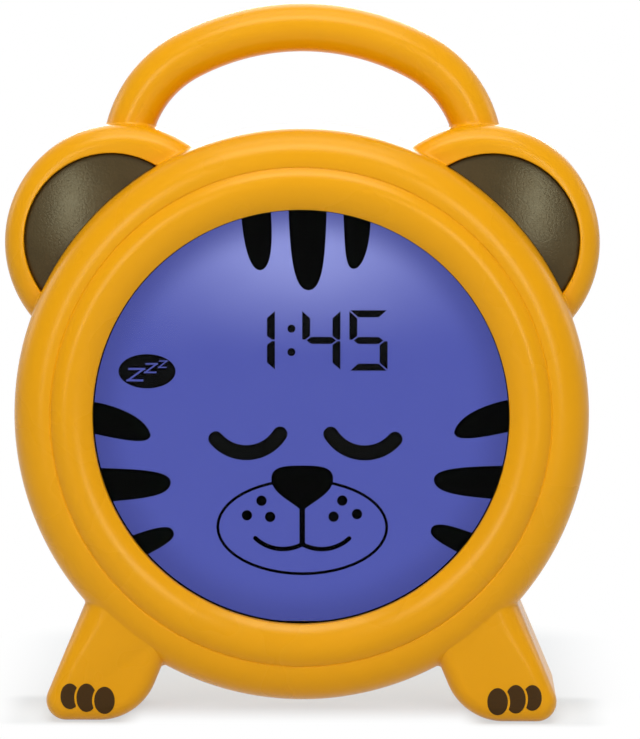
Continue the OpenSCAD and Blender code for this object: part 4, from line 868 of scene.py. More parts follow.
def front_shell_piece(s, l):
    """Front shell: the front form less its inside, the lens pocket, the ears' and the legs' insides and
    the pads' recesses, with the screw bosses put back."""
    pocket_r, pocket_end = l.lens_r + s.fit_gap, l.tray_y - POCKET_SHORT
    shell = half_form(s, l, -1)
    inside = tool(front_inside(s, l, pocket_r, pocket_end))
    shell = cut(shell, inside, ear_hollow(s, l, -1), leg_hollow(s, l, -1), tool(*both(pad_recess(s))))
    walls = (l.dish, l.side_c[1] - s.side_roll, l.leg_front)
    bosses, bores = [], []
    for (x, z, seat), wall in zip(screw_places(s, l), walls):
        bosses += both(bar(x, z, BOSS_R, wall + s.wall / 2, -SEAM_GAP))
        bores += both(bar(x, z, CASE_BORE_R, seat - CASE_SCREW_L, PAST, 24))
    low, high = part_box("tray_screws")
    tray_x, tray_z = high.x - TRAY_HEAD_R, high.z - TRAY_HEAD_R
    for z in (tray_z, 2 * l.body_z - tray_z):
        bosses += both(bar(tray_x, z, TRAY_BOSS_R, walls[1] + s.wall / 2, l.tray_y))
        bores += both(bar(tray_x, z, TRAY_BORE_R, low.y - BORE_ROOM, l.tray_y + PAST, 24))
    segments_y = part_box("lcd_segments")[0].y
    ribbon_way = block((-RIBBON_WAY, segments_y - s.run_gap, l.body_z - pocket_r - POCKET_RIB - PAST),
                       (RIBBON_WAY, pocket_end + PAST, l.body_z - l.lens_r + PAST))
    return cut(unite(shell, tool(*bosses)), tool(*bores), tool(ribbon_way))


def flared(x, z, radius, start, l, flare=MOUTH, count=32):
    """Cutter for a round hole in the flat back, with a small chamfer at its mouth."""
    return turned(np.array([
        [radius, start], [radius, l.back - flare], [radius + flare, l.back], [radius + flare, l.back + PAST],
    ]), (x, z), count)


def mouth(l, start, flare=MOUTH):
    """Levels of a slab that cuts through the flat back from depth start, with a chamfer at its mouth."""
    return [(start, 0), (l.back - flare, 0), (l.back, flare), (l.back + PAST, flare)]


def sound_holes(l, start):
    """Holes of the speaker's grille: a field of triangles cut to a disc, row by row."""
    holes = []
    for row in range(-3, 4):
        for column in range(-3, 4):
            x, z = column + row / 2, row * np.sqrt(3) / 2
            if np.hypot(x, z) < SOUND_FIELD:
                holes.append(flared(x * SOUND_PITCH, l.speaker_z + z * SOUND_PITCH, SOUND_HOLE_R, start, l,
                                    count=20))
    return holes


def rear_walls(s, l):
    """What stands inside the rear shell, kept within its outer form: the battery bay, the frame round
    the door's opening and the pillars of the case screws."""
    side = l.door_x + s.run_gap + BAY_FRAME_W
    bay = block((-l.bay_x - BAY_WALL, l.bay_floor - BAY_WALL, l.bay_low - BAY_WALL),
                (l.bay_x + BAY_WALL, l.back_in + LAP, l.bay_high + BAY_WALL))
    apart = 0.01 * MM  # keeps the tops of bay and frame out of one plane
    rim = block((-side, l.back - BAY_FRAME_T, l.door_low.z - s.run_gap - BAY_FRAME_W / 2),
                (side, l.back_in + LAP, l.bay_high + BAY_WALL + apart))
    pillars = []
    for x, z, _ in screw_places(s, l):
        pillars += both(bar(x, z, BOSS_R, SEAM_GAP, l.back))
    return within(unite(tool(bay), tool(rim), tool(*pillars)), half_form(s, l, 1))


def rear_bosses(s, l):
    """Bosses of the door's screw and of the main board, and the disc that becomes the speaker's ring."""
    bosses = [bar(0, l.door_screw_z, BOSS_R, l.bay_floor, l.back - DOOR_TAB_T - s.run_gap)]
    low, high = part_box("main_board")
    lower_screw, upper_screw = (32 * MM, low.z + 3.2 * MM), (46 * MM, high.z - 3.5 * MM)
    for x, z in (lower_screw, upper_screw):
        bosses += both(bar(x, z, BOARD_BOSS_R, high.y, l.back_in + LAP))
    bosses.append(bar(0, l.speaker_z, l.speaker_r + SPEAKER_RING_T, l.back_in - SPEAKER_RING_D,
                      l.back_in + LAP, 64))
    return tool(*bosses)


def door_room(s, l):
    """What bay and door take out of the rear shell: cells, plate, tab, knuckle and pins."""
    gap = s.run_gap
    cells = block((-l.bay_x, l.bay_floor, l.bay_low), (l.bay_x, l.back_in + BITE, l.bay_high))
    plate = slab((-l.door_x - gap, l.plate_low - gap), (l.door_x + gap, l.bay_high), DOOR_CORNER,
                 mouth(l, l.back_in - BITE / 2))
    tab = slab((-DOOR_TAB_W - gap, l.door_low.z - gap), (DOOR_TAB_W + gap, l.plate_low + PAST), DOOR_CORNER,
               mouth(l, l.back - DOOR_TAB_T - gap))
    knuckle = block((-l.door_x - gap, l.back - BAY_FRAME_T, l.pivot_z - KNUCKLE_R - 2 * gap),
                    (l.door_x + gap, l.back + PAST, l.bay_high))
    pins = crosswise(l.pivot_y, l.pivot_z, PIN_R + PIN_CLEAR, l.door_low.x - gap, l.door_high.x + gap)
    return [tool(solid) for solid in (cells, plate, tab, knuckle, pins)]


def back_openings(s, l):
    """Openings of the flat back: sound holes, buttons, screws, the slider's slot and the inlet."""
    start, slot_flare, slot_corner, inlet_corner = l.back_in - PAST, 0.2 * MM, MM, 1.9 * MM
    holes = sound_holes(l, start)
    for name in BUTTONS:
        centre = middle_of(name + "_button")
        holes.append(flared(centre.x, centre.z, CAP_R + s.run_gap, start, l, count=64))
    for x, z, seat in screw_places(s, l):
        holes += both(flared(x, z, CASE_HEAD_R, seat, l))
    screw_end = l.back - DOOR_TAB_T - DOOR_SCREW_REACH
    holes.append(flared(0, l.door_screw_z, DOOR_HOLE_R, screw_end, l, flare=SHARP))
    slider = middle_of("alarm_slider")
    x, z = slider.x + SLIDE_TRAVEL / 2, slider.z
    levels = mouth(l, start, slot_flare)
    holes.append(slab((x - SLOT_W, z - SLOT_H), (x + SLOT_W, z + SLOT_H), slot_corner, levels))
    low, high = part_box("power_inlet")
    gap = s.run_gap
    holes.append(slab((low.x - gap, low.z - gap), (high.x + gap, high.z + gap), inlet_corner, levels))
    return tool(*holes)


def rear_shell_piece(s, l):
    """Rear shell: the rear form less its inside, with bosses, battery bay and speaker ring put in and
    every opening of the back cut with a small chamfer at its mouth."""
    inside = turned(np.concatenate([
        [[s.body_r - s.wall, -PAST]], arc(l.back_c, s.back_roll - s.wall, 0, 90, 14),
    ]), (0, l.body_z), 192)
    shell = half_form(s, l, 1)
    shell = cut(shell, tool(inside), ear_hollow(s, l, 1), leg_hollow(s, l, 1), tool(*both(pad_recess(s))))
    shell = unite(shell, rear_walls(s, l), rear_bosses(s, l))
    speaker = tool(bar(0, l.speaker_z, l.speaker_r, l.back_in - SPEAKER_RING_D - PAST, l.back_in, 64))
    shanks = [tool(*both(bar(x, z, CASE_SHANK_R, -PAST, seat + BITE, 24)))
              for x, z, seat in screw_places(s, l)]
    return cut(shell, *door_room(s, l), speaker, *shanks, back_openings(s, l))


# ---- Lens, trim, buttons and door ----


def dome_r(radius, crown):
    """Radius of the sphere whose cap has that radius and that height."""
    return (radius**2 + crown**2) / (2 * crown)


def lens_piece(s, l):
    """Window lens: flat back, rim, and a spherical dome over the window's opening."""
    sphere_r = dome_r(l.window_r, LENS_CROWN)
    half = np.degrees(np.arcsin((l.window_r - s.fit_gap) / sphere_r))
    pole = np.degrees(np.arcsin(POLE_R / sphere_r))
    edge = 0.2 * MM
    profile = np.concatenate([
        arc((0, l.seat - LENS_CROWN + sphere_r), sphere_r, pole - 90, half - 90, 24),
        [[l.lens_r - edge, l.seat], [l.lens_r, l.seat + edge], [l.lens_r, l.lens_back]],
    ])
    return tool(turned(profile, (0, l.body_z), 192))


def ear_inlay_piece(s, l, side):
    """Ear inlay: a flat-backed spherical dome with a rounded edge, cut along the round body."""
    thickness, crown, edge = 1.6 * MM, 3 * MM, 0.55 * MM
    r = s.dish_r - s.fit_gap
    sphere_r = dome_r(r, crown)
    centre = np.array([0, l.dish - thickness - crown + sphere_r])
    inner = sphere_r - edge
    edge_c = np.array([r - edge, centre[1] - np.sqrt(inner**2 - (r - edge) ** 2)])
    meet = bearing(centre, edge_c)
    profile = np.concatenate([
        [[r, l.dish]],
        arc(edge_c, edge, 0, meet, 6),
        arc(centre, sphere_r, meet, np.degrees(np.arcsin(POLE_R / sphere_r)) - 90, 26)[1:],
    ])
    dome = turned(profile, (l.dish_x, l.dish_z), 168)
    inlay = tool(dome if side > 0 else mirrored(dome))
    return cut(inlay, tool(bar(0, l.body_z, s.body_r + s.fit_gap, l.front - PAST, l.back, 288)))


def ellipse(x, z, half_w, half_h, y0, y1, count=64):
    """Upright bar with an ellipse as its section, from depth y0 to depth y1."""
    a = np.arange(count) * 2 * np.pi / count
    ring = np.stack([x + half_w * np.cos(a), 0 * a, z + half_h * np.sin(a)], axis=1)
    return skin(np.array([ring + [0, y0, 0], ring + [0, y1, 0]]))


def toe_piece(s, l, side):
    """Three toes: ovals laid over the foot's front, each cut back where the next one lies over it."""
    skin_over = tool(leg_form(s, l, -1, -TOE_PROUD))
    ovals = []
    places = np.array(TOES) * MM
    for k, (x, z, half_w, half_h) in enumerate(places):
        oval = tool(ellipse(x, z, half_w, half_h, l.front, l.leg_front + TOE_SUNK))
        if k + 1 < len(places):
            x, z, half_w, half_h = places[k + 1]
            oval = cut(oval, tool(ellipse(x, z, half_w + TOE_GAP, half_h + TOE_GAP, l.front - PAST, 0)))
        ovals.append(oval)
    toes = within(unite(*ovals), skin_over)
    if side < 0:
        toes.data.transform(Matrix.Diagonal((-1.0, 1.0, 1.0, 1.0)))
        toes.data.flip_normals()
    return toes


def button_piece(s, l, node):
    """Push button: stem, flange and a cap with a rounded edge and a shallow dish for the finger."""
    low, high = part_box(node)
    x, z = (low.x + high.x) / 2, (low.z + high.z) / 2
    edge, stem_r, flange_t = 0.6 * MM, 1.5 * MM, 1.9 * MM
    dish_r, dish, pole_r = 3.6 * MM, 0.35 * MM, 0.3 * MM
    flange_r, flange_back = high.x - x, l.back_in - s.run_gap
    flange_front = flange_back - flange_t
    bowl_r = dome_r(dish_r, dish)
    rim, pole = np.degrees(np.arcsin(np.array([dish_r, pole_r]) / bowl_r))
    profile = np.concatenate([
        [[stem_r, low.y], [stem_r, flange_front], [flange_r, flange_front], [flange_r, flange_back]],
        [[CAP_R, flange_back]],
        arc((CAP_R - edge, high.y - edge), edge, 0, 90, 8),
        arc((0, high.y - dish + bowl_r), bowl_r, rim - 90, pole - 90, 10),
    ])
    return tool(turned(profile, (x, z), 72))


def door_piece(s, l):
    """Battery door: plate, tab and knuckle with its pins, with a sunk screw hole and grip grooves."""
    low, high, back = l.door_low, l.door_high, l.back
    edge, latch_edge, pin_edge = 0.3 * MM, 0.2 * MM, 0.2 * MM
    latch_back = back - 1.5 * MM

    curve = arc((-edge, back - edge), edge, 0, 90, 5)
    rounded = [(back - DOOR_T, 0), *[(y, grow) for grow, y in curve]]
    plate = slab((-l.door_x, l.plate_low), (l.door_x, l.pivot_z + edge), DOOR_CORNER, rounded)
    tab = slab((-DOOR_TAB_W, low.z), (DOOR_TAB_W, l.plate_low + DOOR_T), DOOR_CORNER, rounded)
    latch = slab((-DOOR_TAB_W, low.z), (DOOR_TAB_W, l.plate_low - 2 * s.run_gap), DOOR_CORNER, [
        (back - DOOR_TAB_T, -latch_edge), (back - DOOR_TAB_T + latch_edge, 0), (latch_back, 0),
    ])
    knuckle = crosswise(l.pivot_y, l.pivot_z, KNUCKLE_R, -l.door_x, l.door_x, edge, 64)
    pins = crosswise(l.pivot_y, l.pivot_z, PIN_R, low.x, high.x, pin_edge, 40)
    door = unite(*[tool(solid) for solid in (plate, tab, latch, knuckle, pins)])
    hole = bar(0, l.door_screw_z, DOOR_SHANK_R, back - DOOR_TAB_T - PAST, latch_back, 48)
    sink = flared(0, l.door_screw_z, DOOR_HEAD_R, back - DOOR_T, l, 0.2 * MM, 64)

    first, pitch, groove_w, groove_h, corner = 4 * MM, 2.4 * MM, 8 * MM, 1.2 * MM, 0.55 * MM
    # depth in the back's face and growth of the outline there
    levels = [(-0.4, -0.1), (-0.25, 0), (-0.12, 0), (0.2, 0.3)]
    grooves = []
    for k in range(4):
        z = l.plate_low + first + pitch * k
        grooves.append(slab((-groove_w, z), (groove_w, z + groove_h), corner,
                            [(back + y * MM, grow * MM) for y, grow in levels]))
    return cut(door, tool(hole), tool(sink), tool(*grooves))


# ---- Finishes ----


class Finish:
    """A material with its node tree; its coordinates are the object's own, in metres."""

    def __init__(self, name):
        self.material = bpy.data.materials.new(name)
        self.material.use_nodes = True
        self.tree = self.material.node_tree
        self.shader = self.tree.nodes["Principled BSDF"]
        self.place = self.add("ShaderNodeTexCoord").outputs["Object"]

    def add(self, kind, inputs=None, **settings):
        """A new node with its settings and its inputs, each a value or another node's output."""
        node = self.tree.nodes.new(kind)
        for key, value in settings.items():
            setattr(node, key, value)
        for key, value in (inputs or {}).items():
            self.feed(node.inputs[key], value)
        return node

    def feed(self, socket, value):
        """Links another node's output to a socket, or sets the socket to a constant."""
        if isinstance(value, bpy.types.NodeSocket):
            self.tree.links.new(value, socket)
        else:
            socket.default_value = value

    def set(self, inputs):
        """Feeds the inputs of the surface itself."""
        for key, value in inputs.items():
            self.feed(self.shader.inputs[key], value)
        return self

    def math(self, operation, first, second=0.0):
        return self.add("ShaderNodeMath", {0: first, 1: second}, operation=operation).outputs[0]

    def vector(self, operation, first, second=(0.0, 0.0, 0.0), output="Vector"):
        return self.add("ShaderNodeVectorMath", {0: first, 1: second}, operation=operation).outputs[output]

    def axes(self):
        """Outputs X, Y and Z of the place."""
        return self.add("ShaderNodeSeparateXYZ", {"Vector": self.place}).outputs

    def round_window(self, l):
        """Place across, height above the window's centre, and distance from the window's axis."""
        parts = self.axes()
        x, up = parts["X"], self.math("SUBTRACT", parts["Z"], l.body_z)
        squares = [self.math("MULTIPLY", part, part) for part in (x, up)]
        return x, up, self.math("SQRT", self.math("ADD", *squares))

    def noise(self, size, detail=2.0, stretch=None):
        """Cloudy values from 0 to 1, with patches of about that size in metres."""
        place = self.place
        if stretch:
            place = self.vector("MULTIPLY", place, stretch)
        node = self.add("ShaderNodeTexNoise", {"Vector": place, "Scale": 1 / size, "Detail": detail})
        return node.outputs["Fac"]

    def cells(self, size, feature):
        """Distances between scattered points, about that size apart in metres."""
        node = self.add("ShaderNodeTexVoronoi", {"Vector": self.place, "Scale": 1 / size}, feature=feature)
        return node.outputs["Distance"]

    def between(self, value, start, stop, low=0.0, high=1.0, smooth=False):
        """Value carried from the range start..stop to low..high, and held at its ends."""
        kind = "SMOOTHSTEP" if smooth else "LINEAR"
        inputs = {"Value": value, "From Min": start, "From Max": stop, "To Min": low, "To Max": high}
        return self.add("ShaderNodeMapRange", inputs, interpolation_type=kind).outputs["Result"]

    def ramp(self, value, stops):
        """Colour at value, from (position, colour) stops."""
        node = self.add("ShaderNodeValToRGB", {"Fac": value})
        bands = node.color_ramp.elements
        while len(bands) < len(stops):
            bands.new(0.5)
        for band, (position, shade) in zip(bands, stops):
            band.position = position
            band.color = (*shade, 1.0)
        return node.outputs["Color"]

    def tinted(self, shade, value, spread):
        """The shade, made darker and lighter by spread as value goes from 0 to 1."""
        return self.ramp(value, [(0.0, dim(shade, 1 - spread)), (1.0, dim(shade, 1 + spread))])

    def relief(self, height, depth, strength=1.0):
        """Bump of that depth in metres, from a height between 0 and 1."""
        node = self.add("ShaderNodeBump", {"Height": height, "Distance": depth, "Strength": strength})
        self.feed(self.shader.inputs["Normal"], node.outputs["Normal"])
        return self


def dim(shade, factor):
    """The shade times a factor, held at 1."""
    return tuple(min(1.0, part * factor) for part in shade)


def plain(name, shade, rough, size, spread=0.06, depth=0.0, gloss=0.5, metal=0.0, detail=3.0):
    """Common finish: mottled colour and roughness over patches of one size, with a fine bump."""
    f = Finish(name)
    patches = f.noise(size, detail)
    f.set({
        "Base Color": f.tinted(shade, patches, spread),
        "Roughness": f.between(patches, 0.3, 0.7, rough * 0.88, rough * 1.12),
        "Specular IOR Level": gloss,
        "Metallic": metal,
    })
    return f.relief(patches, depth) if depth else f


def casing_finish(c):
    """Satin-gloss moulded plastic with a very fine orange peel."""
    f = Finish("casing_plastic")
    broad, peel = f.noise(22 * MM, 2.0), f.noise(0.55 * MM, 2.0)
    f.set({
        "Base Color": f.tinted(c.shell, broad, 0.035),
        "Roughness": f.between(broad, 0.3, 0.7, 0.26, 0.3),
        "Specular IOR Level": 0.27,
        "Specular Tint": (1.0, 0.95, 0.6, 1.0),
    })
    return f.relief(peel, 0.0045 * MM)


def leather_finish(c):
    """Grained leather: small pebbles between fine creases, worn lighter in broad patches."""
    f = Finish("ear_leather")
    pebbles = f.cells(0.62 * MM, "F1")
    creases = f.cells(1.15 * MM, "DISTANCE_TO_EDGE")
    broad = f.noise(7 * MM, 4.0)
    shade = f.math("ADD", f.math("MULTIPLY", broad, 0.75), f.math("MULTIPLY", pebbles, 0.4))
    height = f.math("SUBTRACT", f.between(creases, 0.0, 0.22), f.math("MULTIPLY", pebbles, 0.8))
    f.set({
        "Base Color": f.ramp(shade, [(0.15, dim(c.leather, 0.75)), (0.85, dim(c.leather, 1.25))]),
        "Roughness": f.between(broad, 0.3, 0.7, 0.22, 0.28),
        "Specular IOR Level": 0.32,
        "Specular Tint": (1.0, 0.95, 0.62, 1.0),
    })
    return f.relief(height, 0.04 * MM, 0.2)


def lens_finish():
    """Clear plastic with hardly any haze, and a thin black ring just inside the window's edge: painted shade
    of the shadow gap where the bezel meets the lens.
    """
    f = Finish("lens_clear")
    _, l = measures()
    haze = f.noise(16 * MM, 3.0)
    _, _, radius = f.round_window(l)
    # the black ring is painted shade, standing for the shadow gap between bezel and lens
    gap_shadow_start, gap_shadow_end = l.window_r - 0.3 * MM, l.window_r - 0.22 * MM
    gap_shadow = f.between(radius, gap_shadow_start, gap_shadow_end)
    clear = f.math("MULTIPLY", f.between(haze, 0.0, 1.0, 0.97, 0.99), f.math("SUBTRACT", 1.0, gap_shadow))
    return f.set({
        "Base Color": f.ramp(clear, [(0.0, (0.0, 0.0, 0.0)), (1.0, (1.0, 1.0, 1.0))]),
        "Roughness": f.between(haze, 0.35, 0.75, 0.0, 0.012),
        "IOR": 1.12,
        "Transmission Weight": 1.0,
    })


def glass_finish():
    """Display glass inside a stack: nearly without reflections of its own."""
    f = Finish("display_glass")
    return f.set({
        "Base Color": f.tinted((0.985, 0.985, 1.0), f.noise(20 * MM, 2.0), 0.008),
        "Roughness": 0.0,
        "IOR": 1.03,
        "Transmission Weight": 1.0,
    })


def light_finish(c):
    """Display light: the backlight's even violet blue, darker along the rim, with a painted reflection
    of the top lamps in the lens laid into its colour: a paler patch at the top of the window that rises
    with height and falls off to both sides as exp(-(x / width) squared)."""
    f = Finish("display_light")
    _, l = measures()
    x, up, radius = f.round_window(l)
    # heights over which the painted reflection of the top lamps grows to full, and its width across
    reflection_bottom, reflection_top, reflection_w = 14 * MM, 45 * MM, 35 * MM
    rim_start, rim_end, rim_share = 45 * MM, 55.5 * MM, 0.85
    spread = f.math("POWER", f.math("DIVIDE", x, reflection_w), 2.0)
    fall = f.math("EXPONENT", f.math("MULTIPLY", spread, -1.0))
    grain = f.between(f.noise(9 * MM, 2.0), 0.3, 0.7, -0.012, 0.012)
    level = f.between(up, reflection_bottom, reflection_top, smooth=True)
    # share of the painted lamp reflection: up with height, down to the sides, with a faint random grain
    glow = f.math("ADD", f.math("MULTIPLY", level, fall), grain)
    middle = tuple(0.52 * a + 0.48 * b for a, b in zip(c.glow_deep, c.reflection_top))
    light = f.ramp(glow, [(0.0, c.glow_deep), (0.5, middle), (0.95, c.reflection_top)])
    rim = f.math("MULTIPLY", f.between(radius, rim_start, rim_end, smooth=True), rim_share)
    edge = f.add("ShaderNodeMix", {"Factor": rim, 6: light, 7: (*c.glow_edge, 1.0)}, data_type="RGBA")
    return f.set({
        "Base Color": (0.02, 0.022, 0.04, 1.0),
        "Roughness": 0.6,
        "Emission Color": edge.outputs[2],
        "Emission Strength": 1.0,
    })


def ink_finish(name, shade):
    """Printed ink: near black, with the faint mottle of the screen it was pressed through."""
    f = Finish(name)
    mottle = f.noise(0.5 * MM, 2.0)
    return f.set({
        "Base Color": f.tinted(shade, mottle, 0.15),
        "Roughness": f.between(mottle, 0.3, 0.7, 0.5, 0.6),
        "Specular IOR Level": 0.15,
    })


def board_finish(name, shade, pale):
    """Circuit board: solder mask over slightly raised tracks that run up and across."""
    f = Finish(name)
    parts = f.axes()
    flat = f.add("ShaderNodeCombineXYZ", {"X": parts["X"], "Y": parts["Z"]})
    tracks = f.add("ShaderNodeTexBrick", {
        "Vector": flat.outputs[0], "Scale": 1 / (9 * MM), "Mortar Size": 0.035, "Mortar Smooth": 0.3,
        "Brick Width": 0.9, "Row Height": 0.24, "Color1": (*shade, 1), "Color2": (*dim(shade, 0.9), 1),
        "Mortar": (*pale, 1),
    })
    f.set({"Base Color": tracks.outputs["Color"], "Roughness": 0.34})
    return f.relief(tracks.outputs["Fac"], 0.03 * MM, 0.6)


def ribbon_finish():
    """Amber film with copper lines along its length."""
    f = Finish("ribbon_amber")
    pitch = 0.8 * MM
    lines = f.between(f.math("SINE", f.math("MULTIPLY", f.axes()["X"], 2 * np.pi / pitch)), 0.1, 0.6)
    f.set({
        "Base Color": f.ramp(lines, [(0.0, (0.32, 0.11, 0.015)), (1.0, (0.42, 0.17, 0.05))]),
        "Roughness": 0.3,
    })
    return f.relief(lines, 0.01 * MM)


def brushed_finish(name, shade, rough, size, stretch):
    """Bare metal with fine drawn lines."""
    f = Finish(name)
    lines = f.noise(size, 2.0, stretch)
    f.set({
        "Base Color": f.tinted(shade, lines, 0.12),
        "Metallic": 1.0,
        "Roughness": f.between(lines, 0.3, 0.7, rough * 0.8, rough * 1.2),
    })
    return f.relief(lines, 0.006 * MM)


def cell_finish():
    """Battery sleeves: a blue band with a pale one towards the button end."""
    f = Finish("cell_wrap")
    reach, blue, pale, bare = 24 * MM, (0.03, 0.09, 0.30), (0.55, 0.57, 0.60), (0.62, 0.62, 0.62)
    away = f.math("ABSOLUTE", f.axes()["X"])
    band = f.math("ADD", away, f.math("MULTIPLY", f.noise(3 * MM, 4.0), 0.2 * MM))
    stops = [(0.0, blue), (0.60, blue), (0.61, pale), (0.86, pale), (0.87, bare)]
    return f.set({
        "Base Color": f.ramp(f.between(band, 0.0, reach), stops), "Roughness": 0.28, "Metallic": 0.35,
    })


def plain_finishes(c):
    """Settings of the common finishes, by slot."""
    return {
        "toe_plastic": dict(name="toe_brown", shade=c.toes, rough=0.55, size=0.7 * MM, spread=0.22,
                            depth=0.02 * MM, gloss=0.12),
        "foam_black": dict(name="foam_black", shade=(0.012, 0.012, 0.012), rough=0.9, size=0.25 * MM,
                           spread=0.3, depth=0.05 * MM, gloss=0.1),
        "tray_white": dict(name="tray_white", shade=(0.80, 0.80, 0.78), rough=0.5, size=5 * MM,
                           spread=0.03, depth=0.01 * MM, gloss=0.4),
        "lamp_yellow": dict(name="lamp_yellow", shade=(0.75, 0.60, 0.16), rough=0.35, size=0.6 * MM,
                            spread=0.1),
        "chip_black": dict(name="chip_black", shade=(0.018, 0.018, 0.02), rough=0.55, size=0.2 * MM,
                           spread=0.2, depth=0.008 * MM),
        "pad_rubber": dict(name="pad_rubber", shade=(0.022, 0.021, 0.02), rough=0.85, size=0.35 * MM,
                           spread=0.25, depth=0.03 * MM, gloss=0.2),
        "button_brown": dict(name="button_brown", shade=c.button, rough=0.42, size=0.5 * MM, spread=0.08,
                             depth=0.008 * MM, gloss=0.4),
        "plunger_white": dict(name="plunger_white", shade=(0.74, 0.74, 0.72), rough=0.45, size=1.2 * MM,
                              spread=0.04, depth=0.004 * MM),
        "speaker_grey": dict(name="speaker_grey", shade=(0.06, 0.06, 0.062), rough=0.7, size=0.4 * MM,
                             spread=0.25, depth=0.03 * MM, gloss=0.3),
    }


def make_finish(slot, c):
    """A new finish for one slot, in the panel's colours."""
    common = plain_finishes(c)
    if slot in common:
        return plain(**common[slot])
    return {
        "body_plastic": lambda: casing_finish(c),
        "ear_leather": lambda: leather_finish(c),
        "lens_plastic": lens_finish,
        "face_ink": lambda: ink_finish("face_ink", c.ink),
        "display_glass": glass_finish,
        "segment_black": lambda: ink_finish("segment_black", c.segments),
        "display_light": lambda: light_finish(c),
        "board_white": lambda: board_finish("lamp_board", (0.72, 0.72, 0.68), (0.60, 0.60, 0.55)),
        "board_green": lambda: board_finish("main_board", c.board, dim(c.board, 1.9)),
        "ribbon_amber": ribbon_finish,
        "screw_steel": lambda: brushed_finish("screw_steel", c.steel, 0.3, 0.4 * MM, (1, 6, 1)),
        "contact_steel": lambda: brushed_finish("contact_steel", c.steel, 0.25, 0.5 * MM, (1, 1, 5)),
        "contact_gold": lambda: brushed_finish("contact_gold", (0.83, 0.60, 0.22), 0.22, 0.4 * MM,
                                               (4, 1, 1)),
        "cell_blue": cell_finish,
    }[slot]()


FINISHES = {}


def finish_for(slot):
    """Material of one slot, made once."""
    if slot not in FINISHES:
        FINISHES[slot] = make_finish(slot, bpy.context.scene.clock_colours).material
    return FINISHES[slot]


# ---- Operators ----


class CLOCK_OT_front_shell(bpy.types.Operator):
    """Builds the front shell: ring, bezel, front halves of ears, handle and legs"""

    bl_idname = "clock.front_shell"
    bl_label = "Front Shell"

    def execute(self, context):
        settle(front_shell_piece(*measures()), "FrontShell", "clock", "body_plastic", "front_shell")
        return {"FINISHED"}


class CLOCK_OT_rear_shell(bpy.types.Operator):
    """Builds the rear shell with its battery bay, bosses and openings"""

    bl_idname = "clock.rear_shell"
    bl_label = "Rear Shell"

    def execute(self, context):
        settle(rear_shell_piece(*measures()), "RearShell", "clock", "body_plastic", "rear_shell")
        return {"FINISHED"}


class CLOCK_OT_lens(bpy.types.Operator):
    """Builds the clear domed lens over the window"""

    bl_idname = "clock.lens"
    bl_label = "Window Lens"

    def execute(self, context):
        settle(lens_piece(*measures()), "WindowLens", "clock", "lens_plastic", "window_lens")
        return {"FINISHED"}


class CLOCK_OT_ear_inlays(bpy.types.Operator):
    """Builds the padded leather inlays of both ears"""

    bl_idname = "clock.ear_inlays"
    bl_label = "Ear Inlays"

    def execute(self, context):
        for side, word in ((-1, "left"), (1, "right")):
            inlay = ear_inlay_piece(*measures(), side)
            settle(inlay, word.title() + "EarInlay", "clock", "ear_leather", word + "_ear_inlay")
        return {"FINISHED"}


class CLOCK_OT_toes(bpy.types.Operator):
    """Builds the toes on both feet"""

    bl_idname = "clock.toes"
    bl_label = "Toes"

    def execute(self, context):
        for side, word in ((-1, "left"), (1, "right")):
            toes = toe_piece(*measures(), side)
            settle(toes, word.title() + "Toes", "clock", "toe_plastic", word + "_toe_inlays")
        return {"FINISHED"}


class CLOCK_OT_buttons(bpy.types.Operator):
    """Builds the six push buttons on the back"""

    bl_idname = "clock.buttons"
    bl_label = "Push Buttons"

    def execute(self, context):
        for name in BUTTONS:
            node = name + "_button"
            settle(button_piece(*measures(), node), name.title() + "Button", name + "_key",
                   "button_brown", node)
        return {"FINISHED"}


class CLOCK_OT_door(bpy.types.Operator):
    """Builds the battery door"""

    bl_idname = "clock.door"
    bl_label = "Battery Door"

    def execute(self, context):
        settle(door_piece(*measures()), "BatteryDoor", "door", "body_plastic", "battery_door")
        return {"FINISHED"}


class CLOCK_OT_finishes(bpy.types.Operator):
    """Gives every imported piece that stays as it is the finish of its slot"""

    bl_idname = "clock.finishes"
    bl_label = "Finishes"

    def execute(self, context):
        for entry in frame["record"]["subparts"]:
            if entry["node"] not in REBUILT:
                mesh = frame["nodes"][entry["node"]].data
                mesh.materials.clear()
                mesh.materials.append(finish_for(entry["material_slot"]))
        return {"FINISHED"}


# ---- Stage ----


def seen_by_eye(tree):
    """1 for rays from the camera, from gloss and through clear pieces, and 0 for all others."""
    path = tree.nodes.new("ShaderNodeLightPath")
    total = path.outputs["Is Camera Ray"]
    for word in ("Is Glossy Ray", "Is Transmission Ray"):
        step = tree.nodes.new("ShaderNodeMath")
        step.operation = "MAXIMUM"
        tree.links.new(total, step.inputs[0])
        tree.links.new(path.outputs[word], step.inputs[1])
        total = step.outputs[0]
    return total


def make_sky(stage):
    """White to the eye, and a softer daylight for everything that it lights."""
    world = bpy.data.worlds.new("studio")
    bpy.context.scene.world = world
    world.use_nodes = True
    tree = world.node_tree
    daylight = tree.nodes["Background"]
    daylight.inputs["Color"].default_value = (1.0, 0.99, 0.975, 1.0)
    daylight.inputs["Strength"].default_value = stage.daylight
    white = tree.nodes.new("ShaderNodeBackground")
    white.inputs["Color"].default_value = (1.0, 1.0, 1.0, 1.0)
    mix = tree.nodes.new("ShaderNodeMixShader")
    tree.links.new(seen_by_eye(tree), mix.inputs[0])
    tree.links.new(daylight.outputs[0], mix.inputs[1])
    tree.links.new(white.outputs[0], mix.inputs[2])
    tree.links.new(mix.outputs[0], tree.nodes["World Output"].inputs["Surface"])


def outside_box(f, place, middle, half):
    """Distance of a place from a box round the middle: the length of what is left of its offsets once
    half the box is taken off each."""
    offset = f.vector("ABSOLUTE", f.vector("SUBTRACT", place, middle))
    left = f.vector("MAXIMUM", f.vector("SUBTRACT", offset, half), (0.0, 0.0, 0.0))
    return f.vector("LENGTH", left, output="Value")


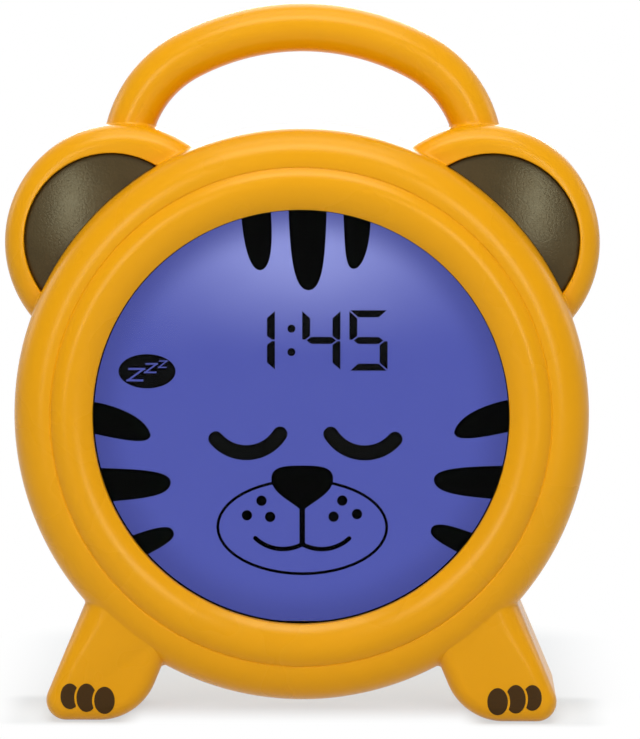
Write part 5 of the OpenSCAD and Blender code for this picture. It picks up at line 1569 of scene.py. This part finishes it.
def make_floor():
    """Pale floor that keeps the soft shadow near the clock and turns into plain white further away."""
    half = 3.0
    points = np.array([[-1, -1, 0], [1, -1, 0], [1, 1, 0], [-1, 1, 0]]) * half
    mesh = bpy.data.meshes.new("Floor")
    mesh.from_pydata(points.tolist(), [], [[0, 1, 2, 3]])
    floor = bpy.data.objects.new("Floor", mesh)
    bpy.context.scene.collection.objects.link(floor)
    f = Finish("floor_white")
    f.set({"Base Color": (0.68, 0.735, 0.765, 1.0), "Roughness": 0.9, "Specular IOR Level": 0.0})
    white = f.add("ShaderNodeEmission", {"Color": (1.0, 1.0, 1.0, 1.0), "Strength": 1.0})

    # share of plain white: lower within a box behind the clock, and lowest round the feet, where the
    # shadow is dark. Each box has a middle and half a size, in metres, and a distance over which its
    # effect fades
    shadow_middle, shadow_half, shadow_fade = (0.0, 0.07, 0.0), (0.05, 0.05, 1.0), 0.042
    foot_middle, foot_half, foot_fade = (0.0625, 0.0, 0.0), (0.012, 0.0175, 1.0), 0.009
    shadow = outside_box(f, f.place, shadow_middle, shadow_half)
    feet = outside_box(f, f.vector("ABSOLUTE", f.place), foot_middle, foot_half)
    share = f.math("MULTIPLY", f.between(shadow, 0.0, shadow_fade, 0.47, 1.0, smooth=True),
                   f.between(feet, 0.0, foot_fade, 0.62, 1.0, smooth=True))
    share = f.math("MULTIPLY", share, seen_by_eye(f.tree))
    mix = f.add("ShaderNodeMixShader", {0: share, 1: f.shader.outputs[0], 2: white.outputs[0]})
    f.feed(f.tree.nodes["Material Output"].inputs["Surface"], mix.outputs[0])
    mesh.materials.append(f.material)


def make_lamp(name, place, aim, size, power):
    """Softbox at a place, turned towards the point it aims at."""
    light = bpy.data.lights.new(name, "AREA")
    light.shape = "RECTANGLE"
    light.size, light.size_y = size
    light.energy = power
    lamp = bpy.data.objects.new(name, light)
    bpy.context.scene.collection.objects.link(lamp)
    turn_towards(lamp, place, aim)


def make_camera(stage):
    """Camera on a ball round the point that it looks at, by azimuth and elevation."""
    aim = np.array([0.0, -stage.aim_y, stage.aim_z])
    level = np.cos(stage.elevation)
    way = [np.sin(stage.azimuth) * level, -np.cos(stage.azimuth) * level, np.sin(stage.elevation)]
    camera = bpy.data.objects.new("Camera", bpy.data.cameras.new("Camera"))
    bpy.context.scene.collection.objects.link(camera)
    turn_towards(camera, aim + stage.distance * np.array(way), aim)
    camera.data.lens = stage.lens
    camera.data.sensor_width = 36.0
    camera.data.shift_x, camera.data.shift_y = stage.shift
    camera.data.clip_start, camera.data.clip_end = 0.05, 20.0
    bpy.context.scene.camera = camera


def turn_towards(thing, place, aim):
    """Puts a lamp or camera at a place and turns its view, its own -Z, towards the aim."""
    thing.location = place
    way = Vector(np.asarray(aim, float) - np.asarray(place, float))
    thing.rotation_euler = way.to_track_quat("-Z", "Y").to_euler()


class CLOCK_OT_stage(bpy.types.Operator):
    """Sets the camera, the softboxes, the sky and the floor"""

    bl_idname = "clock.stage"
    bl_label = "Stage"

    def execute(self, context):
        stage = context.scene.clock_stage
        context.scene.view_settings.view_transform = "Standard"
        make_sky(stage)
        make_floor()
        for lamp in LAMPS:
            make_lamp(*lamp)
        make_camera(stage)
        return {"FINISHED"}


class CLOCK_PT_panel(bpy.types.Panel):
    """Lists the clock's operators and the sizes, colours and stage settings they use"""

    bl_idname = "CLOCK_PT_panel"
    bl_label = "Tiger Clock"
    bl_space_type = "VIEW_3D"
    bl_region_type = "UI"
    bl_category = "Clock"

    def draw(self, context):
        for operator in OPERATORS:
            self.layout.operator(operator.bl_idname)
        scene = context.scene
        for settings in (scene.clock_sizes, scene.clock_colours, scene.clock_stage):
            box = self.layout.box()
            for name in settings.__annotations__:
                box.prop(settings, name)


OPERATORS = (
    CLOCK_OT_front_shell, CLOCK_OT_rear_shell, CLOCK_OT_lens, CLOCK_OT_ear_inlays, CLOCK_OT_toes,
    CLOCK_OT_buttons, CLOCK_OT_door, CLOCK_OT_finishes, CLOCK_OT_stage,
)
CLASSES = (ClockSizes, ClockColours, ClockStage, *OPERATORS, CLOCK_PT_panel)


def register():
    """Makes the classes and the three groups of settings known to Blender."""
    for kind in CLASSES:
        bpy.utils.register_class(kind)
    bpy.types.Scene.clock_sizes = bpy.props.PointerProperty(type=ClockSizes)
    bpy.types.Scene.clock_colours = bpy.props.PointerProperty(type=ClockColours)
    bpy.types.Scene.clock_stage = bpy.props.PointerProperty(type=ClockStage)


def unregister():
    """Takes them back, in the other order."""
    for name in ("clock_stage", "clock_colours", "clock_sizes"):
        delattr(bpy.types.Scene, name)
    for kind in reversed(CLASSES):
        bpy.utils.unregister_class(kind)


def main():
    register()
    for operator in OPERATORS:
        getattr(bpy.ops.clock, operator.bl_idname.split(".")[1])()


if __name__ == "__main__":
    main()
